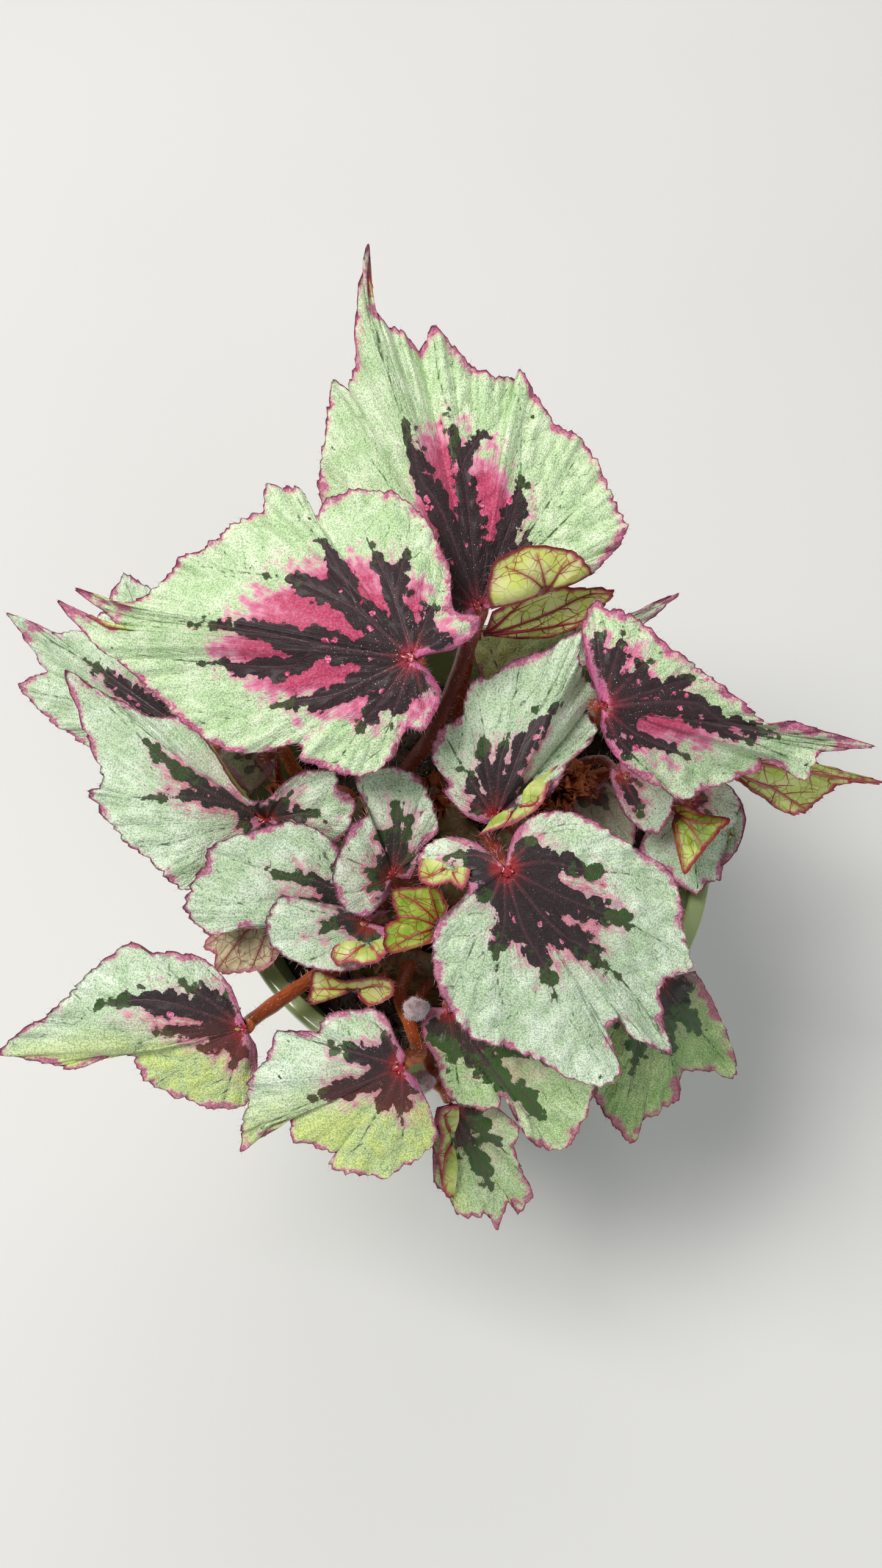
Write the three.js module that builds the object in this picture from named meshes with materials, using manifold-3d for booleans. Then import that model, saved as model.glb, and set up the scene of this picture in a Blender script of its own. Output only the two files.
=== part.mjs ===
import * as THREE from 'three';
import { mergeVertices } from 'three/addons/utils/BufferGeometryUtils.js';
import Module from 'manifold-3d';

// A rex begonia in a round plastic pot: patterned leaf blades on fleshy stalks that rise
// from a creeping rhizome. Millimetres, +Z up, origin at the middle of the pot's underside,
// +X to the viewer's right and +Y away from the viewer.

// Pot, soil and rhizome.
const potHeight = 135;
const potBaseRadius = 51;
const potMouthRadius = 70.5;
const potWall = 1.9;
const potFloor = 2.4;
const lipOuterRadius = 76;
const lipDepth = 7;
const potSides = 40;
const drainHoleRadius = 4.5;
const drainHoleCircle = 33;
const drainHoleCount = 6;
const drainHoleSides = 12;
const edgeRound = 1.4;
const clearance = 0.3;
const soilTop = 110;
const soilEdgeDrop = 3;
const soilRelief = 2.2;
const soilWallGap = 0.7;
const soilSpokes = 24;
const soilRings = 4;
const rhizomeLevel = 113;
const rhizomeRadius = 9;
const rhizomeTaper = 1;
const rhizomeHump = 0.8;
const rhizomeSides = 8;

// Blades: their thickness, and the shares of the way out at which a blade has a ring of
// points, on a large blade and on a small one.
const bladeThickness = 0.9;
const ringShares = [0.3, 0.6, 0.85, 1];
const fewRingShares = [0.42, 0.85, 1];
const largeBladePoints = 28;
const smallBladePoints = 12;
// A tooth or tail leans sideways past this share of its ray, over this width of it, and the
// rays keep at least this angle, in radians, and this share of the free angle between them.
const leanEarliest = 0.55;
const leanLatest = 0.88;
const leanWidth = 0.06;
const leastTurn = 0.01;
const roomShare = 0.25;
// The waves of the margin are at full height from this far out.
const fullWaveReach = 25;
const lowWaveShare = 0.4;

// Stalks: how deep the root goes, how far the stalk rises straight over it, and the straight
// neck under the blade.
const stalkSides = 6;
const stalkSink = 7;
const stalkRise = 3;
const stalkNeck = 4;

// The view that the leaf outlines are read in: the eye's place in millimetres, how far the
// view looks down, its focal length and its middle in pixels of a 1445 x 2569 picture.
const viewEye = new THREE.Vector3(-8, -123, 464);
const viewDownDegrees = 67;
const viewFocal = 1850;
const viewMiddleColumn = 722.5;
const viewMiddleRow = 1284.5;
const viewDown = THREE.MathUtils.degToRad(viewDownDegrees);
const viewAhead = new THREE.Vector3(0, Math.cos(viewDown), -Math.sin(viewDown));
const viewUp = new THREE.Vector3(0, Math.sin(viewDown), Math.cos(viewDown));
const viewRight = new THREE.Vector3(1, 0, 0);

// The place in the plant that shows at a column and row of the view, at a height.
function placed([column, row, height]) {
  const ray = viewAhead.clone();
  ray.addScaledVector(viewRight, (column - viewMiddleColumn) / viewFocal);
  ray.addScaledVector(viewUp, (viewMiddleRow - row) / viewFocal);
  return viewEye.clone().addScaledVector(ray, (height - viewEye.z) / ray.z);
}

// Each leaf: the junction of its veins, and its margin round the junction from one side of the
// sinus to the other, clockwise as seen from above the blade. Every point is column, row and
// height. arch lifts the blade between junction and margin, and ruffle is the height of the
// margin's waves. A flap is a lobe that rolls over: a smaller sheet that starts from the
// blade's edge. The stalk runs from under the junction through its points to its root, which
// is x and y in millimetres.
const leaves = {
  back_tall: {
    junction: [785, 1000, 196],
    margin: [
      [760, 1022, 192], [690, 1010, 188], [600, 945, 188], [545, 870, 192], [522, 800, 197],
      [528, 745, 202], [536, 690, 206], [543, 626, 211], [571, 634, 215], [582, 590, 221],
      [584, 504, 231], [603, 398, 238], [608, 492, 231], [630, 528, 227], [660, 545, 223],
      [687, 571, 220], [711, 535, 224], [742, 566, 221], [775, 600, 219], [812, 618, 217],
      [842, 616, 216], [853, 606, 218], [880, 650, 214], [912, 696, 211], [950, 718, 209],
      [980, 760, 207], [1004, 815, 205], [1027, 862, 203], [1018, 888, 201], [996, 915, 201],
      [972, 938, 200], [944, 954, 199], [900, 968, 198], [846, 985, 196], [806, 996, 196],
    ],
    arch: 0.05, ruffle: 0.7,
    flap: {
      junction: [895, 968, 199],
      margin: [
        [804, 998, 196.4], [798, 960, 203], [812, 918, 209], [868, 893, 211], [936, 902, 208],
        [960, 922, 205], [971, 941, 200.6],
      ],
      arch: 0.1, ruffle: 0.3,
    },
    stalk: [[765, 1062, 183], [740, 1130, 172], [700, 1215, 158], [668, 1262, 146]], root: [-21, 3],
    stalkRadius: [2.1, 2.7],
  },
  back_folded: {
    junction: [792, 1040, 184],
    margin: [
      [806, 1003, 190], [850, 982, 194], [905, 965, 196], [960, 963, 195], [1006, 968, 192],
      [985, 1000, 188], [945, 1030, 185], [895, 1046, 182], [840, 1046, 183],
    ].reverse(),
    arch: -0.04, ruffle: 0.3, stalkFromEdge: true,
    stalk: [[768, 1085, 166], [746, 1180, 138]], root: [-9, 15], stalkRadius: [1.3, 1.8],
  },
  back_grey: {
    junction: [830, 1125, 166],
    margin: [
      [812, 1150, 162], [787, 1105, 160], [778, 1045, 163], [840, 1020, 170], [930, 1025, 176],
      [1030, 1005, 178], [1112, 972, 182], [1040, 1035, 176], [960, 1090, 172], [880, 1140, 166],
    ],
    arch: 0.04, ruffle: 0.5,
    stalk: [[800, 1200, 140]], root: [3, 14], stalkRadius: [1.4, 1.9],
  },
  left_large: {
    junction: [677, 1079, 210],
    margin: [
      [700, 1096, 208], [721, 1128, 206], [716, 1165, 204], [692, 1198, 203], [668, 1194, 202],
      [645, 1238, 198], [620, 1262, 195], [572, 1271, 193], [530, 1258, 193], [494, 1244, 193],
      [490, 1219, 194], [440, 1230, 191], [385, 1234, 189], [335, 1210, 188], [290, 1174, 188],
      [248, 1132, 188], [200, 1088, 190], [157, 1058, 193], [93, 983, 192], [172, 1026, 195],
      [186, 1016, 195], [120, 962, 194], [190, 988, 198], [212, 985, 198], [258, 966, 200],
      [287, 922, 203], [318, 905, 204], [352, 888, 206], [372, 862, 207], [404, 852, 208],
      [429, 836, 208], [437, 797, 211], [470, 798, 211], [497, 806, 211], [516, 843, 210],
      [545, 813, 212], [600, 802, 214], [650, 811, 215], [690, 842, 215], [718, 890, 214],
      [738, 940, 213], [744, 1000, 212], [786, 1012, 213], [775, 1045, 211], [740, 1066, 209],
    ],
    arch: 0.045, ruffle: 0.7,
    stalk: [[690, 1120, 190], [660, 1180, 160], [615, 1260, 135]], root: [-30, 10], stalkRadius: [2.2, 2.8],
  },
  left_pale: {
    junction: [437, 1342, 166],
    margin: [
      [420, 1372, 163], [370, 1420, 160], [302, 1458, 160], [262, 1425, 163], [213, 1385, 166],
      [178, 1346, 169], [145, 1299, 172], [168, 1286, 173], [160, 1250, 174], [138, 1195, 175],
      [107, 1100, 180], [150, 1125, 179], [200, 1149, 181], [252, 1174, 182], [310, 1175, 181],
      [345, 1225, 180], [370, 1265, 179], [398, 1303, 177], [430, 1312, 172], [452, 1297, 175],
      [472, 1278, 177], [502, 1262, 178], [548, 1264, 178], [555, 1290, 176], [580, 1309, 174],
      [574, 1350, 171], [550, 1380, 166], [500, 1388, 162],
    ],
    arch: 0.06, ruffle: 0.6,
    stalk: [[455, 1375, 150], [500, 1410, 128]], root: [-40, -6], stalkRadius: [1.9, 2.4],
  },
  far_left: {
    junction: [300, 1195, 162],
    margin: [
      [288, 1228, 160], [210, 1240, 156], [135, 1218, 152], [112, 1200, 152], [94, 1190, 152],
      [62, 1160, 151], [33, 1128, 151], [55, 1108, 153], [73, 1098, 154], [45, 1052, 154],
      [13, 1006, 156], [60, 1022, 158], [100, 1038, 160], [160, 1015, 165], [200, 943, 169],
      [236, 958, 171], [270, 985, 171], [320, 1060, 170], [335, 1150, 168],
    ],
    arch: 0.05, ruffle: 0.5,
    stalk: [[340, 1225, 152], [410, 1225, 150], [462, 1230, 146], [490, 1270, 134]], root: [-39, 17],
    stalkRadius: [1.9, 2.3],
  },
  left_low: {
    junction: [440, 1240, 162],
    margin: [
      [452, 1255, 160], [436, 1280, 156], [408, 1299, 153], [378, 1272, 155], [352, 1245, 158],
      [370, 1215, 161], [415, 1195, 164],
    ],
    arch: 0.05, ruffle: 0.5,
    stalk: [[462, 1290, 145]], root: [-47, 3], stalkRadius: [1.2, 1.6],
  },
  right_large: {
    junction: [985, 1158, 199],
    margin: [
      [966, 1105, 202], [955, 1060, 204], [955, 1020, 206], [966, 992, 207], [982, 984, 207],
      [992, 997, 207], [1012, 999, 207], [1048, 1016, 206], [1095, 1058, 203], [1132, 1084, 201],
      [1165, 1110, 198], [1212, 1146, 195], [1240, 1172, 192], [1262, 1187, 189],
      [1297, 1181, 187], [1345, 1196, 183], [1428, 1222, 176], [1352, 1232, 180],
      [1333, 1243, 180], [1322, 1280, 177], [1285, 1262, 178], [1250, 1243, 180],
      [1242, 1262, 179], [1190, 1281, 179], [1150, 1297, 180], [1113, 1309, 181],
      [1085, 1292, 184], [1055, 1278, 187], [1020, 1252, 190], [996, 1222, 193], [983, 1190, 196],
    ],
    arch: 0.07, ruffle: 0.6,
    stalk: [[976, 1174, 174], [925, 1218, 158], [886, 1300, 138]], root: [22, -1], stalkRadius: [2.0, 2.6],
  },
  far_right: {
    junction: [1150, 1215, 168],
    margin: [
      [1185, 1185, 166], [1230, 1200, 164], [1300, 1235, 161], [1362, 1258, 158],
      [1445, 1282, 154], [1384, 1284, 155], [1352, 1302, 155], [1322, 1329, 154],
      [1292, 1334, 155], [1250, 1308, 158], [1205, 1278, 163], [1150, 1250, 166],
    ],
    arch: 0.06, ruffle: 0.5,
    stalk: [[1080, 1240, 157], [1000, 1265, 149], [950, 1280, 137]], root: [31, 17], stalkRadius: [1.8, 2.2],
  },
  right_small: {
    junction: [1014, 1264, 168],
    margin: [
      [1014, 1244, 171], [1050, 1262, 169], [1080, 1278, 167], [1103, 1295, 165],
      [1102, 1320, 163], [1092, 1345, 161], [1078, 1366, 159], [1045, 1356, 160],
      [1020, 1330, 163], [1008, 1300, 166], [999, 1272, 169], [1002, 1256, 170],
    ],
    arch: 0.05, ruffle: 0.5,
    stalk: [[985, 1244, 160], [942, 1256, 152], [918, 1296, 138]], root: [30, 6], stalkRadius: [1.3, 1.8],
  },
  right_silver: {
    junction: [1125, 1310, 150],
    margin: [
      [1145, 1275, 152], [1188, 1282, 152], [1216, 1318, 149], [1212, 1352, 146],
      [1207, 1393, 143], [1188, 1405, 143], [1180, 1441, 141], [1160, 1445, 141],
      [1141, 1465, 140], [1100, 1440, 142], [1048, 1392, 143], [1080, 1330, 145],
      [1105, 1290, 148],
    ],
    arch: 0.05, ruffle: 0.5,
    stalk: [[1090, 1330, 134]], root: [42, 7], stalkRadius: [1.4, 1.9],
  },
  right_turned: {
    junction: [1107, 1334, 155],
    margin: [
      [1098, 1312, 157], [1125, 1320, 159], [1155, 1334, 161], [1197, 1342, 162],
      [1178, 1362, 161], [1158, 1388, 159], [1140, 1410, 157], [1121, 1433, 155],
      [1108, 1390, 154], [1100, 1350, 154],
    ].reverse(),
    arch: -0.05, ruffle: 0.3, stalkFromEdge: true,
    stalk: [[1075, 1328, 153], [1035, 1322, 147], [1000, 1335, 136]], root: [41, -5], stalkRadius: [1.1, 1.6],
  },
  right_low: {
    junction: [968, 1294, 153],
    margin: [
      [990, 1278, 157], [1015, 1295, 154], [1040, 1330, 151], [1035, 1385, 148], [985, 1368, 149],
      [945, 1345, 150], [938, 1308, 151], [950, 1290, 152],
    ],
    arch: 0.05, ruffle: 0.4,
    stalk: [[930, 1330, 138]], root: [37, 3], stalkRadius: [1.2, 1.6],
  },
  mid_right: {
    junction: [812, 1342, 180],
    margin: [
      [795, 1350, 179], [762, 1336, 180], [728, 1298, 182], [734, 1284, 183], [708, 1245, 185],
      [710, 1220, 186], [722, 1195, 188], [757, 1172, 190], [762, 1140, 191], [778, 1113, 192],
      [805, 1108, 193], [838, 1084, 194], [895, 1064, 195], [950, 1032, 197], [950, 1075, 196],
      [954, 1104, 190], [984, 1141, 182], [958, 1166, 180], [978, 1196, 180], [960, 1225, 182],
      [930, 1250, 186], [920, 1276, 185], [897, 1305, 183], [864, 1320, 181], [838, 1342, 180],
    ],
    arch: 0.05, ruffle: 0.6,
    stalk: [[836, 1348, 169], [872, 1388, 148]], root: [16, -6], stalkRadius: [1.9, 2.4],
  },
  centre: {
    junction: [643, 1436, 170],
    margin: [
      [632, 1474, 168], [598, 1502, 169], [562, 1487, 172], [546, 1450, 176], [548, 1412, 178],
      [560, 1385, 180], [575, 1350, 181], [602, 1335, 181], [592, 1308, 178], [583, 1268, 180],
      [635, 1256, 181], [682, 1270, 181], [698, 1296, 179], [713, 1330, 178], [717, 1362, 176],
      [692, 1388, 174], [682, 1415, 172], [672, 1440, 170],
    ],
    arch: 0.05, ruffle: 0.5,
    stalk: [[655, 1450, 152]], root: [-14, -12], stalkRadius: [1.7, 2.1],
  },
  centre_left: {
    junction: [588, 1493, 162],
    margin: [
      [562, 1514, 160], [500, 1525, 160], [450, 1522, 161], [395, 1520, 162], [345, 1531, 162],
      [318, 1512, 163], [303, 1484, 165], [318, 1440, 168], [338, 1412, 170], [345, 1386, 171],
      [430, 1356, 174], [480, 1346, 175], [528, 1364, 174], [560, 1396, 171], [590, 1435, 166],
      [604, 1468, 163],
    ],
    arch: 0.05, ruffle: 0.5,
    stalk: [[596, 1505, 148]], root: [-27, -19], stalkRadius: [1.7, 2.1],
  },
  centre_low: {
    junction: [604, 1512, 165],
    margin: [
      [645, 1524, 166], [634, 1562, 167], [600, 1584, 166], [545, 1592, 166], [490, 1580, 165],
      [448, 1552, 166], [436, 1525, 168], [438, 1502, 169], [455, 1472, 171], [480, 1470, 170],
      [530, 1480, 167], [575, 1486, 165], [640, 1492, 164],
    ],
    arch: 0.04, ruffle: 0.5,
    stalk: [[628, 1520, 150]], root: [-21, -26], stalkRadius: [1.5, 1.9],
  },
  centre_turned: {
    junction: [722, 1518, 172],
    margin: [
      [708, 1545, 172], [636, 1562, 173], [630, 1520, 175], [650, 1503, 173], [643, 1480, 175],
      [645, 1457, 177], [690, 1452, 177], [716, 1450, 176], [735, 1485, 174],
    ].reverse(),
    arch: -0.06, ruffle: 0.3, stalkFromEdge: true,
    stalk: [[752, 1535, 160], [762, 1560, 140]], root: [3, -36], stalkRadius: [1.3, 1.8],
  },
  left_turned: {
    junction: [452, 1495, 154],
    margin: [
      [470, 1540, 151], [440, 1585, 149], [400, 1593, 148], [356, 1594, 147], [350, 1562, 148],
      [333, 1551, 148], [350, 1525, 150], [385, 1500, 153], [430, 1475, 155],
    ].reverse(),
    arch: -0.05, ruffle: 0.3, stalkFromEdge: true,
    stalk: [[500, 1515, 143]], root: [-41, -26], stalkRadius: [1.3, 1.7],
  },
  front_right: {
    junction: [827, 1422, 190],
    margin: [
      [832, 1395, 190], [846, 1360, 190], [872, 1338, 190], [912, 1328, 190], [955, 1337, 189],
      [1000, 1363, 188], [1050, 1396, 185], [1092, 1422, 182], [1110, 1450, 180],
      [1117, 1500, 177], [1124, 1548, 174], [1136, 1585, 171], [1100, 1598, 171],
      [1082, 1622, 169], [1088, 1680, 165], [1101, 1728, 160], [1065, 1712, 164],
      [1030, 1695, 166], [1012, 1668, 169], [996, 1692, 167], [1018, 1755, 162], [978, 1778, 161],
      [930, 1765, 162], [880, 1735, 163], [825, 1716, 165], [772, 1700, 167], [742, 1662, 171],
      [716, 1615, 175], [708, 1560, 180], [716, 1510, 185], [752, 1478, 189], [768, 1453, 190],
      [738, 1446, 186], [700, 1432, 183], [684, 1412, 183], [690, 1392, 183], [712, 1377, 184],
      [742, 1371, 185], [775, 1378, 186], [800, 1396, 188],
    ],
    arch: 0.06, ruffle: 0.6,
    stalk: [[812, 1392, 176], [798, 1374, 150]], root: [4, -7], stalkRadius: [2.1, 2.6],
  },
  lower_left: {
    junction: [403, 1684, 158],
    margin: [
      [420, 1712, 154], [422, 1760, 149], [400, 1812, 144], [352, 1815, 143], [300, 1800, 144],
      [250, 1778, 146], [222, 1742, 149], [212, 1730, 150], [172, 1732, 150], [115, 1752, 148],
      [70, 1738, 147], [0, 1725, 147], [45, 1680, 153], [66, 1672, 155], [110, 1632, 159],
      [150, 1590, 162], [212, 1545, 164], [250, 1560, 164], [300, 1560, 163], [345, 1578, 162],
      [375, 1612, 161], [392, 1650, 160],
    ],
    arch: 0.05, ruffle: 0.6,
    stalk: [[445, 1648, 149], [512, 1603, 143], [565, 1580, 130]], root: [-34, -33], stalkRadius: [2.0, 2.5],
  },
  lower_front: {
    junction: [660, 1745, 164],
    margin: [
      [682, 1768, 162], [700, 1805, 158], [718, 1862, 151], [680, 1900, 147], [625, 1930, 144],
      [580, 1920, 144], [539, 1909, 143], [551, 1888, 145], [515, 1878, 145], [478, 1862, 145],
      [474, 1834, 148], [440, 1856, 144], [399, 1882, 140], [396, 1850, 144], [405, 1810, 149],
      [408, 1770, 154], [438, 1732, 159], [455, 1689, 162], [500, 1688, 164], [520, 1694, 164],
      [528, 1670, 167], [548, 1658, 168], [605, 1652, 169], [635, 1668, 169], [648, 1700, 168],
      [664, 1728, 166],
    ],
    arch: 0.05, ruffle: 0.6,
    stalk: [[688, 1727, 152], [668, 1668, 142], [655, 1630, 133]], root: [-18, -40], stalkRadius: [1.8, 2.3],
  },
  under_front: {
    junction: [735, 1650, 154],
    margin: [
      [760, 1628, 155], [800, 1625, 156], [880, 1650, 155], [950, 1710, 152], [974, 1775, 147],
      [960, 1825, 142], [938, 1868, 138], [906, 1886, 135], [875, 1874, 137], [855, 1850, 139],
      [838, 1820, 142], [826, 1794, 144], [815, 1812, 142], [780, 1817, 143], [742, 1803, 145],
      [722, 1775, 147], [716, 1742, 149], [695, 1705, 151], [691, 1672, 153], [706, 1650, 154],
    ],
    arch: 0.05, ruffle: 0.6,
    stalk: [[745, 1635, 140]], root: [7, -41], stalkRadius: [1.6, 2.0],
  },
  hanging: {
    junction: [738, 1808, 136],
    margin: [
      [800, 1805, 136], [850, 1845, 132], [843, 1878, 129], [855, 1918, 124], [873, 1955, 119],
      [850, 1989, 114], [835, 1970, 117], [813, 2012, 112], [797, 1990, 115], [750, 1990, 116],
      [735, 1957, 121], [712, 1940, 124], [709, 1895, 128], [708, 1850, 133], [716, 1814, 137],
    ],
    arch: 0.05, ruffle: 0.5,
    stalkFromEdge: true,
    stalk: [[715, 1775, 138], [700, 1738, 142], [692, 1690, 140]], root: [-1, -50], stalkRadius: [1.6, 2.0],
  },
  lower_right: {
    junction: [1075, 1602, 152],
    margin: [
      [1138, 1590, 150], [1154, 1615, 148], [1172, 1650, 143], [1196, 1705, 135],
      [1206, 1764, 124], [1150, 1752, 130], [1116, 1762, 131], [1111, 1800, 126],
      [1082, 1820, 125], [1058, 1832, 124], [1034, 1874, 118], [1012, 1850, 121], [992, 1826, 124],
      [975, 1800, 128], [962, 1740, 135], [1000, 1670, 144], [1040, 1615, 150],
    ],
    arch: 0.05, ruffle: 0.6,
    stalk: [[1020, 1590, 142]], root: [27, -28], stalkRadius: [1.8, 2.2],
  },
  front_small: {
    junction: [580, 1622, 152],
    margin: [
      [545, 1636, 151], [506, 1646, 151], [508, 1615, 153], [517, 1588, 155], [560, 1606, 155],
      [612, 1600, 158], [645, 1607, 157], [640, 1635, 154], [604, 1650, 151],
    ],
    arch: 0.04, ruffle: 0.4,
    stalk: [[600, 1640, 138]], root: [-25, -43], stalkRadius: [1.1, 1.5],
  },
};

// Colours and finishes, taken as flat averages of each patterned surface.
const finishes = {
  potPlastic: { color: 0x82915f, roughness: 0.32, metalness: 0 },
  soil: { color: 0x1f1914, roughness: 0.95, metalness: 0 },
  rhizome: { color: 0x6a4a2c, roughness: 0.8, metalness: 0 },
  bladePink: { color: 0xa9a58f, roughness: 0.5, metalness: 0 },
  bladeSilver: { color: 0xa5b79a, roughness: 0.5, metalness: 0 },
  bladeUnder: { color: 0xa9a452, roughness: 0.55, metalness: 0 },
  stalkRed: { color: 0x7a2a1e, roughness: 0.45, metalness: 0 },
  stalkOrange: { color: 0xa8521f, roughness: 0.45, metalness: 0 },
  bud: { color: 0x9a8d8f, roughness: 0.8, metalness: 0 },
};
const pinkLeaves = ['back_tall', 'left_large', 'right_large'];
const turnedLeaves = ['back_folded', 'right_turned', 'centre_turned', 'left_turned', 'front_small'];
const orangeStalks = ['far_left', 'lower_left', 'lower_front', 'hanging', 'far_right', 'front_small'];

const plant = new THREE.Group();

function addMesh(name, geometry, finish) {
  const mesh = new THREE.Mesh(geometry, new THREE.MeshStandardMaterial(finish));
  mesh.name = name;
  plant.add(mesh);
  return mesh;
}

// A geometry from a list of points and a list of triangles, three indices each.
function surface(points, triangles) {
  const geometry = new THREE.BufferGeometry();
  geometry.setAttribute('position', new THREE.Float32BufferAttribute(points.flatMap((p) => p.toArray()), 3));
  geometry.setIndex(triangles.flat());
  geometry.computeVertexNormals();
  return geometry;
}

const wasm = await Module();
wasm.setup();

function toSolid(geometry) {
  const bare = geometry.clone();
  bare.deleteAttribute('normal');
  bare.deleteAttribute('uv');
  const merged = mergeVertices(bare, 1e-4);
  const mesh = new wasm.Mesh({
    numProp: 3,
    vertProperties: new Float32Array(merged.attributes.position.array),
    triVerts: new Uint32Array(merged.index.array),
  });
  return new wasm.Manifold(mesh);
}

function fromSolid(solid) {
  const mesh = solid.getMesh();
  const geometry = new THREE.BufferGeometry();
  geometry.setAttribute('position', new THREE.Float32BufferAttribute(mesh.vertProperties, 3));
  geometry.setIndex(Array.from(mesh.triVerts));
  geometry.computeVertexNormals();
  return geometry;
}

// A round stem along a smooth curve, with a radius at each end and flat ends.
function stem(points, startRadius, endRadius, sides = stalkSides, steps = points.length * 2) {
  const curve = new THREE.CatmullRomCurve3(points, false, 'centripetal');
  const frames = curve.computeFrenetFrames(steps, false);
  const ring = (step) => {
    const centre = curve.getPointAt(step / steps);
    const radius = THREE.MathUtils.lerp(startRadius, endRadius, step / steps);
    return Array.from({ length: sides }, (_, side) => {
      const turn = (2 * Math.PI * side) / sides;
      const spoke = frames.normals[step].clone().multiplyScalar(Math.cos(turn) * radius);
      return spoke.addScaledVector(frames.binormals[step], Math.sin(turn) * radius).add(centre);
    });
  };
  const skin = [];
  for (let step = 0; step <= steps; step += 1) {
    skin.push(...ring(step));
  }
  const triangles = [];
  for (let step = 0; step < steps; step += 1) {
    for (let side = 0; side < sides; side += 1) {
      const next = (side + 1) % sides;
      const a = step * sides + side;
      const b = step * sides + next;
      triangles.push([a, b, b + sides], [a, b + sides, a + sides]);
    }
  }
  const first = skin.push(points[0].clone()) - 1;
  const last = skin.push(points[points.length - 1].clone()) - 1;
  for (let side = 0; side < sides; side += 1) {
    const next = (side + 1) % sides;
    triangles.push([first, next, side]);
    triangles.push([last, steps * sides + side, steps * sides + next]);
  }
  return surface(skin, triangles);
}

// A value that ramps from 0 to 1 beyond the corner, rounded over the width.
function bend(x, corner, width) {
  const past = x - corner;
  if (past <= -width) return 0;
  const run = past >= width ? past : ((past + width) * (past + width)) / (4 * width);
  return run;
}

// How far each ray turns about the blade's facing so that the rays leave the junction in even
// order, shortest rays first. A tooth or tail that leans sideways then bends near the margin.
function evenTurns(junction, ends, facing) {
  const middle = Math.floor(ends.length / 2);
  const zero = ends[middle].clone().sub(junction).projectOnPlane(facing).normalize();
  const side = facing.clone().cross(zero);
  const outs = ends.map((end) => end.clone().sub(junction));
  const raw = outs.map((out) => Math.atan2(-out.dot(side), out.dot(zero)));
  for (let i = middle + 1; i < raw.length; i += 1) {
    if (raw[i] < raw[i - 1] - Math.PI) raw[i] += 2 * Math.PI;
  }
  for (let i = middle - 1; i >= 0; i -= 1) {
    if (raw[i] > raw[i + 1] + Math.PI) raw[i] -= 2 * Math.PI;
  }
  const settled = raw.map(() => null);
  const order = raw.map((_, i) => i).sort((i, j) => outs[i].length() - outs[j].length());
  for (const i of order) {
    let least = -Infinity;
    let most = Infinity;
    settled.forEach((other, j) => {
      if (other === null) return;
      if (j < i) least = Math.max(least, other + leastTurn * (i - j));
      if (j > i) most = Math.min(most, other - leastTurn * (j - i));
    });
    const room = Math.min((most - least) * roomShare, leastTurn);
    settled[i] = Math.min(Math.max(raw[i], least + room), most - room);
  }
  return raw.map((angle, i) => angle - settled[i]);
}

// The share of a ray that stays straight: as far as the shorter of its neighbours reaches.
function leanStart(reaches, i) {
  const near = Math.min(reaches[Math.max(i - 1, 0)], reaches[Math.min(i + 1, reaches.length - 1)]);
  return THREE.MathUtils.clamp(near / reaches[i], leanEarliest, leanLatest);
}

// The blade's junction, margin and facing, and the point at a share of the way out to the
// margin, with the margin counted from one side of the sinus to the other.
function bladeShape(leaf) {
  const junction = placed(leaf.junction);
  const margin = leaf.margin.map(placed);
  const facing = new THREE.Vector3();
  for (let i = 1; i < margin.length; i += 1) {
    const a = margin[i].clone().sub(junction);
    facing.add(a.cross(margin[i - 1].clone().sub(junction)));
  }
  facing.normalize();
  const turns = evenTurns(junction, margin, facing);
  const reaches = margin.map((m) => m.distanceTo(junction));
  const ray = (index, share) => {
    const i = Math.min(Math.max(index, 0), margin.length - 1);
    const reach = margin[i].clone().sub(junction);
    const corner = leanStart(reaches, i);
    const inner = reach.clone().applyAxisAngle(facing, turns[i]).multiplyScalar(corner);
    const outer = bend(share, corner, leanWidth);
    const point = junction.clone().addScaledVector(inner, (share - outer) / corner);
    point.addScaledVector(reach.clone().sub(inner), outer / (1 - corner));
    const inside = Math.min(1, share / corner);
    return point.addScaledVector(facing, reach.length() * leaf.arch * 4 * inside * (1 - inside));
  };
  return { junction, margin, facing, ray };
}

// A point between four neighbours of a smooth row.
function between(before, a, b, after, t) {
  const ease = 0.4;
  const point = new THREE.Vector3();
  point.addScaledVector(a, 2 * t ** 3 - 3 * t ** 2 + 1);
  point.addScaledVector(b, -2 * t ** 3 + 3 * t ** 2);
  point.addScaledVector(b.clone().sub(before), ease * (t ** 3 - 2 * t ** 2 + t));
  point.addScaledVector(after.clone().sub(a), ease * (t ** 3 - t ** 2));
  return point;
}

// The two triangles of a four-sided face, cut along the diagonal that leaves them flattest.
function flatSplit(points, a, b, c, d) {
  const tilt = (i, j, k) => {
    const edge = points[j].clone().sub(points[i]);
    return edge.cross(points[k].clone().sub(points[i])).normalize();
  };
  const first = tilt(a, b, c).dot(tilt(a, c, d));
  const second = tilt(a, b, d).dot(tilt(b, c, d));
  return first >= second ? [[a, b, c], [a, c, d]] : [[a, b, d], [b, c, d]];
}

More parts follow.
